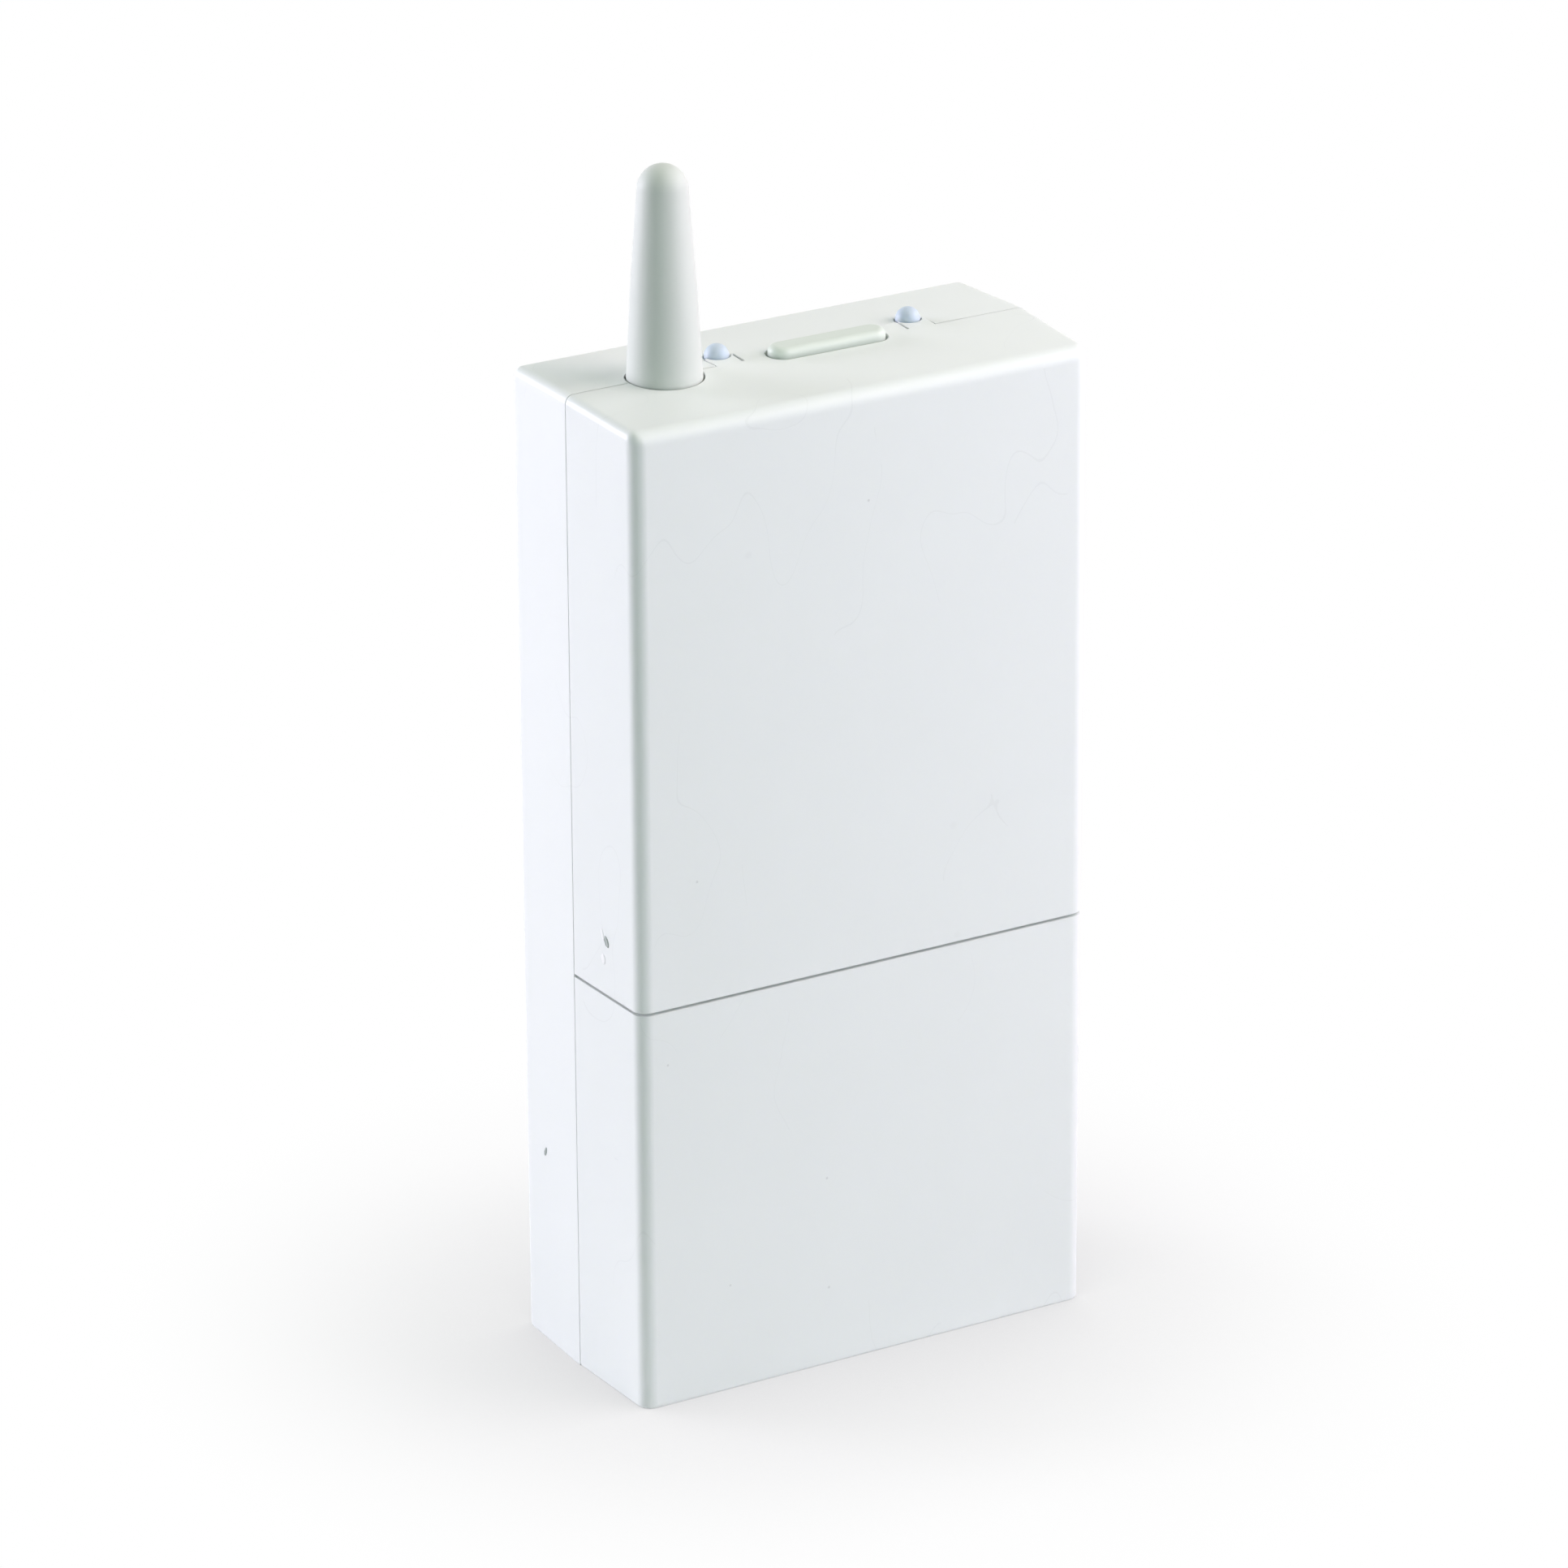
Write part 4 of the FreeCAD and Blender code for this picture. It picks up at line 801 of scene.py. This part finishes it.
@dataclass
class Studio:
    """White studio: camera, floor, soft lamps and a pale world."""

    azimuth: float = -30.246
    elevation: float = 21.907
    roll: float = -0.3
    distance: float = 835.97
    target: Point = (-2.017, 0.5, 60.176)
    focal_px: float = 10000.0
    frame_px: float = 1932.0
    sensor: float = 36.0
    clip: tuple[float, float] = (0.01, 50.0)
    floor_half: float = 4000.0
    floor_shade: float = 0.86
    # Painted contact shadow on the floor: reach and depth of its ambient-occlusion darkening, its tint
    # and its samples.
    shadow_paint_reach: float = 42.0
    shadow_paint_depth: float = 0.46
    shadow_paint_tint: Colour = (0.0, 0.0, 0.04)
    shadow_paint_samples: int = 8
    lit_share: float = 0.16
    white_from: float = 37.0
    white_to: float = 76.0
    sky: Colour = (0.9, 1.0, 0.95)
    sky_level: float = 0.005
    lamps: Sequence[Lamp] = field(default_factory=lambda: (
        Lamp("window_behind_left", (-0.661, 0.734, 0.156), 900.0, 400.0, 8.1, (0.935, 0.895, 1.0)),
        Lamp("softbox_low_right", (0.692, -0.692, 0.208), 450.0, 220.0, 0.72, (0.84, 0.77, 1.0)),
        Lamp("softbox_high_right", (0.525, -0.525, 0.669), 450.0, 220.0, 0.57, (1.0, 0.82, 0.76)),
        Lamp("softbox_front", (0.224, -0.837, 0.5), 600.0, 300.0, 0.30, (0.55, 1.0, 0.80)),
        Lamp("ceiling_panel", (-0.017, 0.0, 1.0), 500.0, 300.0, 0.73, (0.90, 1.0, 0.88)),
        Lamp("strip_right", (0.791, -0.212, 0.574), 300.0, 150.0, 0.38, (1.0, 0.95, 1.0)),
        Lamp("wall_front_left", (-0.70, -0.69, 0.18), 600.0, 300.0, 0.52, (0.8, 1.0, 0.95)),
    ))

    def build(self) -> None:
        """Sets up everything that is not the object."""
        self._camera()
        self._world()
        self._floor()
        for lamp in self.lamps:
            lamp.hang(Vector(self.target) * MM)
        bpy.context.scene.view_settings.view_transform = "Standard"

    def _camera(self) -> None:
        """Puts a plain camera as near to the photograph's view as it can come without a shift."""
        a, e, r = (math.radians(x) for x in (self.azimuth, self.elevation, self.roll))
        ahead = Vector((-math.sin(a) * math.cos(e), math.cos(a) * math.cos(e), -math.sin(e)))
        level = ahead.cross(Vector((0.0, 0.0, 1.0))).normalized()
        above = level.cross(ahead)
        right = level * math.cos(r) + above * math.sin(r)
        up = right.cross(ahead)
        data = bpy.data.cameras.new("photo_camera")
        data.sensor_width = self.sensor
        data.lens = self.focal_px / self.frame_px * self.sensor
        data.clip_start, data.clip_end = self.clip
        camera = bpy.data.objects.new("photo_camera", data)
        bpy.context.scene.collection.objects.link(camera)
        place = (Vector(self.target) - ahead * self.distance) * MM
        turn = Matrix((right, up, -ahead)).transposed().to_4x4()
        camera.matrix_world = Matrix.Translation(place) @ turn
        bpy.context.scene.camera = camera

    @staticmethod
    def _seen(recipe: Recipe) -> Value:
        """One on rays that show the background, straight, mirrored or through glass."""
        path = recipe.node("ShaderNodeLightPath")
        straight = Value(recipe, path.outputs["Is Camera Ray"])
        mirrored = Value(recipe, path.outputs["Is Glossy Ray"])
        through = Value(recipe, path.outputs["Is Transmission Ray"])
        return straight.most(mirrored).most(through)

    def _world(self) -> None:
        """Pale sky for light, white where it is seen."""
        world = bpy.data.worlds.new("white_room")
        world.use_nodes = True
        bpy.context.scene.world = world
        recipe = Recipe(world.node_tree)
        light = recipe.node("ShaderNodeBackground", None, {
            "Color": (*self.sky, 1.0), "Strength": self.sky_level})
        white = recipe.node("ShaderNodeBackground", None, {
            "Color": (1.0, 1.0, 1.0, 1.0), "Strength": 1.0})
        mix = recipe.node("ShaderNodeMixShader", None, {
            0: self._seen(recipe), 1: light.outputs[0], 2: white.outputs[0]})
        recipe.node("ShaderNodeOutputWorld", None, {"Surface": mix.outputs[0]})

    def _floor(self) -> None:
        """Pale floor whose paper keeps the real shadow; for the camera it shows a painted contact
        shadow from ambient occlusion, mixed with a little of the lit paper, and is lifted to white
        further out.
        """
        half = self.floor_half * MM
        mesh = bpy.data.meshes.new("floor")
        corners = [(-half, -half, 0), (half, -half, 0), (half, half, 0), (-half, half, 0)]
        mesh.from_pydata(corners, [], [(0, 1, 2, 3)])
        floor = bpy.data.objects.new("floor", mesh)
        bpy.context.scene.collection.objects.link(floor)
        material = bpy.data.materials.new("floor_paper")
        material.use_nodes = True
        recipe = Recipe(material.node_tree)
        paper = recipe.node("ShaderNodeBsdfDiffuse", None, {"Color": (self.floor_shade,) * 3 + (1.0,)})
        # Painted contact shadow: an emission whose colour darkens with ambient occlusion near the
        # object.
        open_sky = recipe.node("ShaderNodeAmbientOcclusion", {"samples": self.shadow_paint_samples},
                               {"Distance": self.shadow_paint_reach * MM})
        level = 1.0 - (1.0 - Value(recipe, open_sky.outputs["AO"])) * self.shadow_paint_depth
        painted_contact_shadow = recipe.node("ShaderNodeEmission", None, {
            "Color": recipe.mixed(level, self.shadow_paint_tint, (1.0, 1.0, 1.0))})
        near = recipe.node("ShaderNodeMixShader", None, {
            0: self.lit_share, 1: painted_contact_shadow.outputs[0], 2: paper.outputs[0]})
        away = recipe.node("ShaderNodeVectorMath", {"operation": "LENGTH"}, {0: recipe.place()})
        far = recipe.node("ShaderNodeMapRange", {"interpolation_type": "SMOOTHSTEP"}, {
            "Value": away.outputs["Value"], "From Min": self.white_from * MM,
            "From Max": self.white_to * MM})
        white = recipe.node("ShaderNodeEmission", None, {"Strength": 1.0})
        seen = recipe.node("ShaderNodeMixShader", None, {
            0: far.outputs[0], 1: near.outputs[0], 2: white.outputs[0]})
        mix = recipe.node("ShaderNodeMixShader", None, {
            0: self._seen(recipe), 1: paper.outputs[0], 2: seen.outputs[0]})
        recipe.node("ShaderNodeOutputMaterial", None, {"Surface": mix.outputs[0]})
        mesh.materials.append(material)


def main() -> None:
    """Builds every sub-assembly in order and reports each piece."""
    logging.basicConfig(level=logging.INFO, format="%(message)s")
    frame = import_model()
    nodes = frame["nodes"]
    for assembly in (CaseShells(nodes), GateScars(), StubAntenna(nodes), ControlPanel(nodes),
                     CircuitPack(nodes), TerminalBay(nodes)):
        for piece in assembly.build():
            LOG.info("%s: %s, %d faces", type(assembly).__name__, piece.name, len(piece.data.polygons))
    Studio().build()


if __name__ == "__main__":
    main()
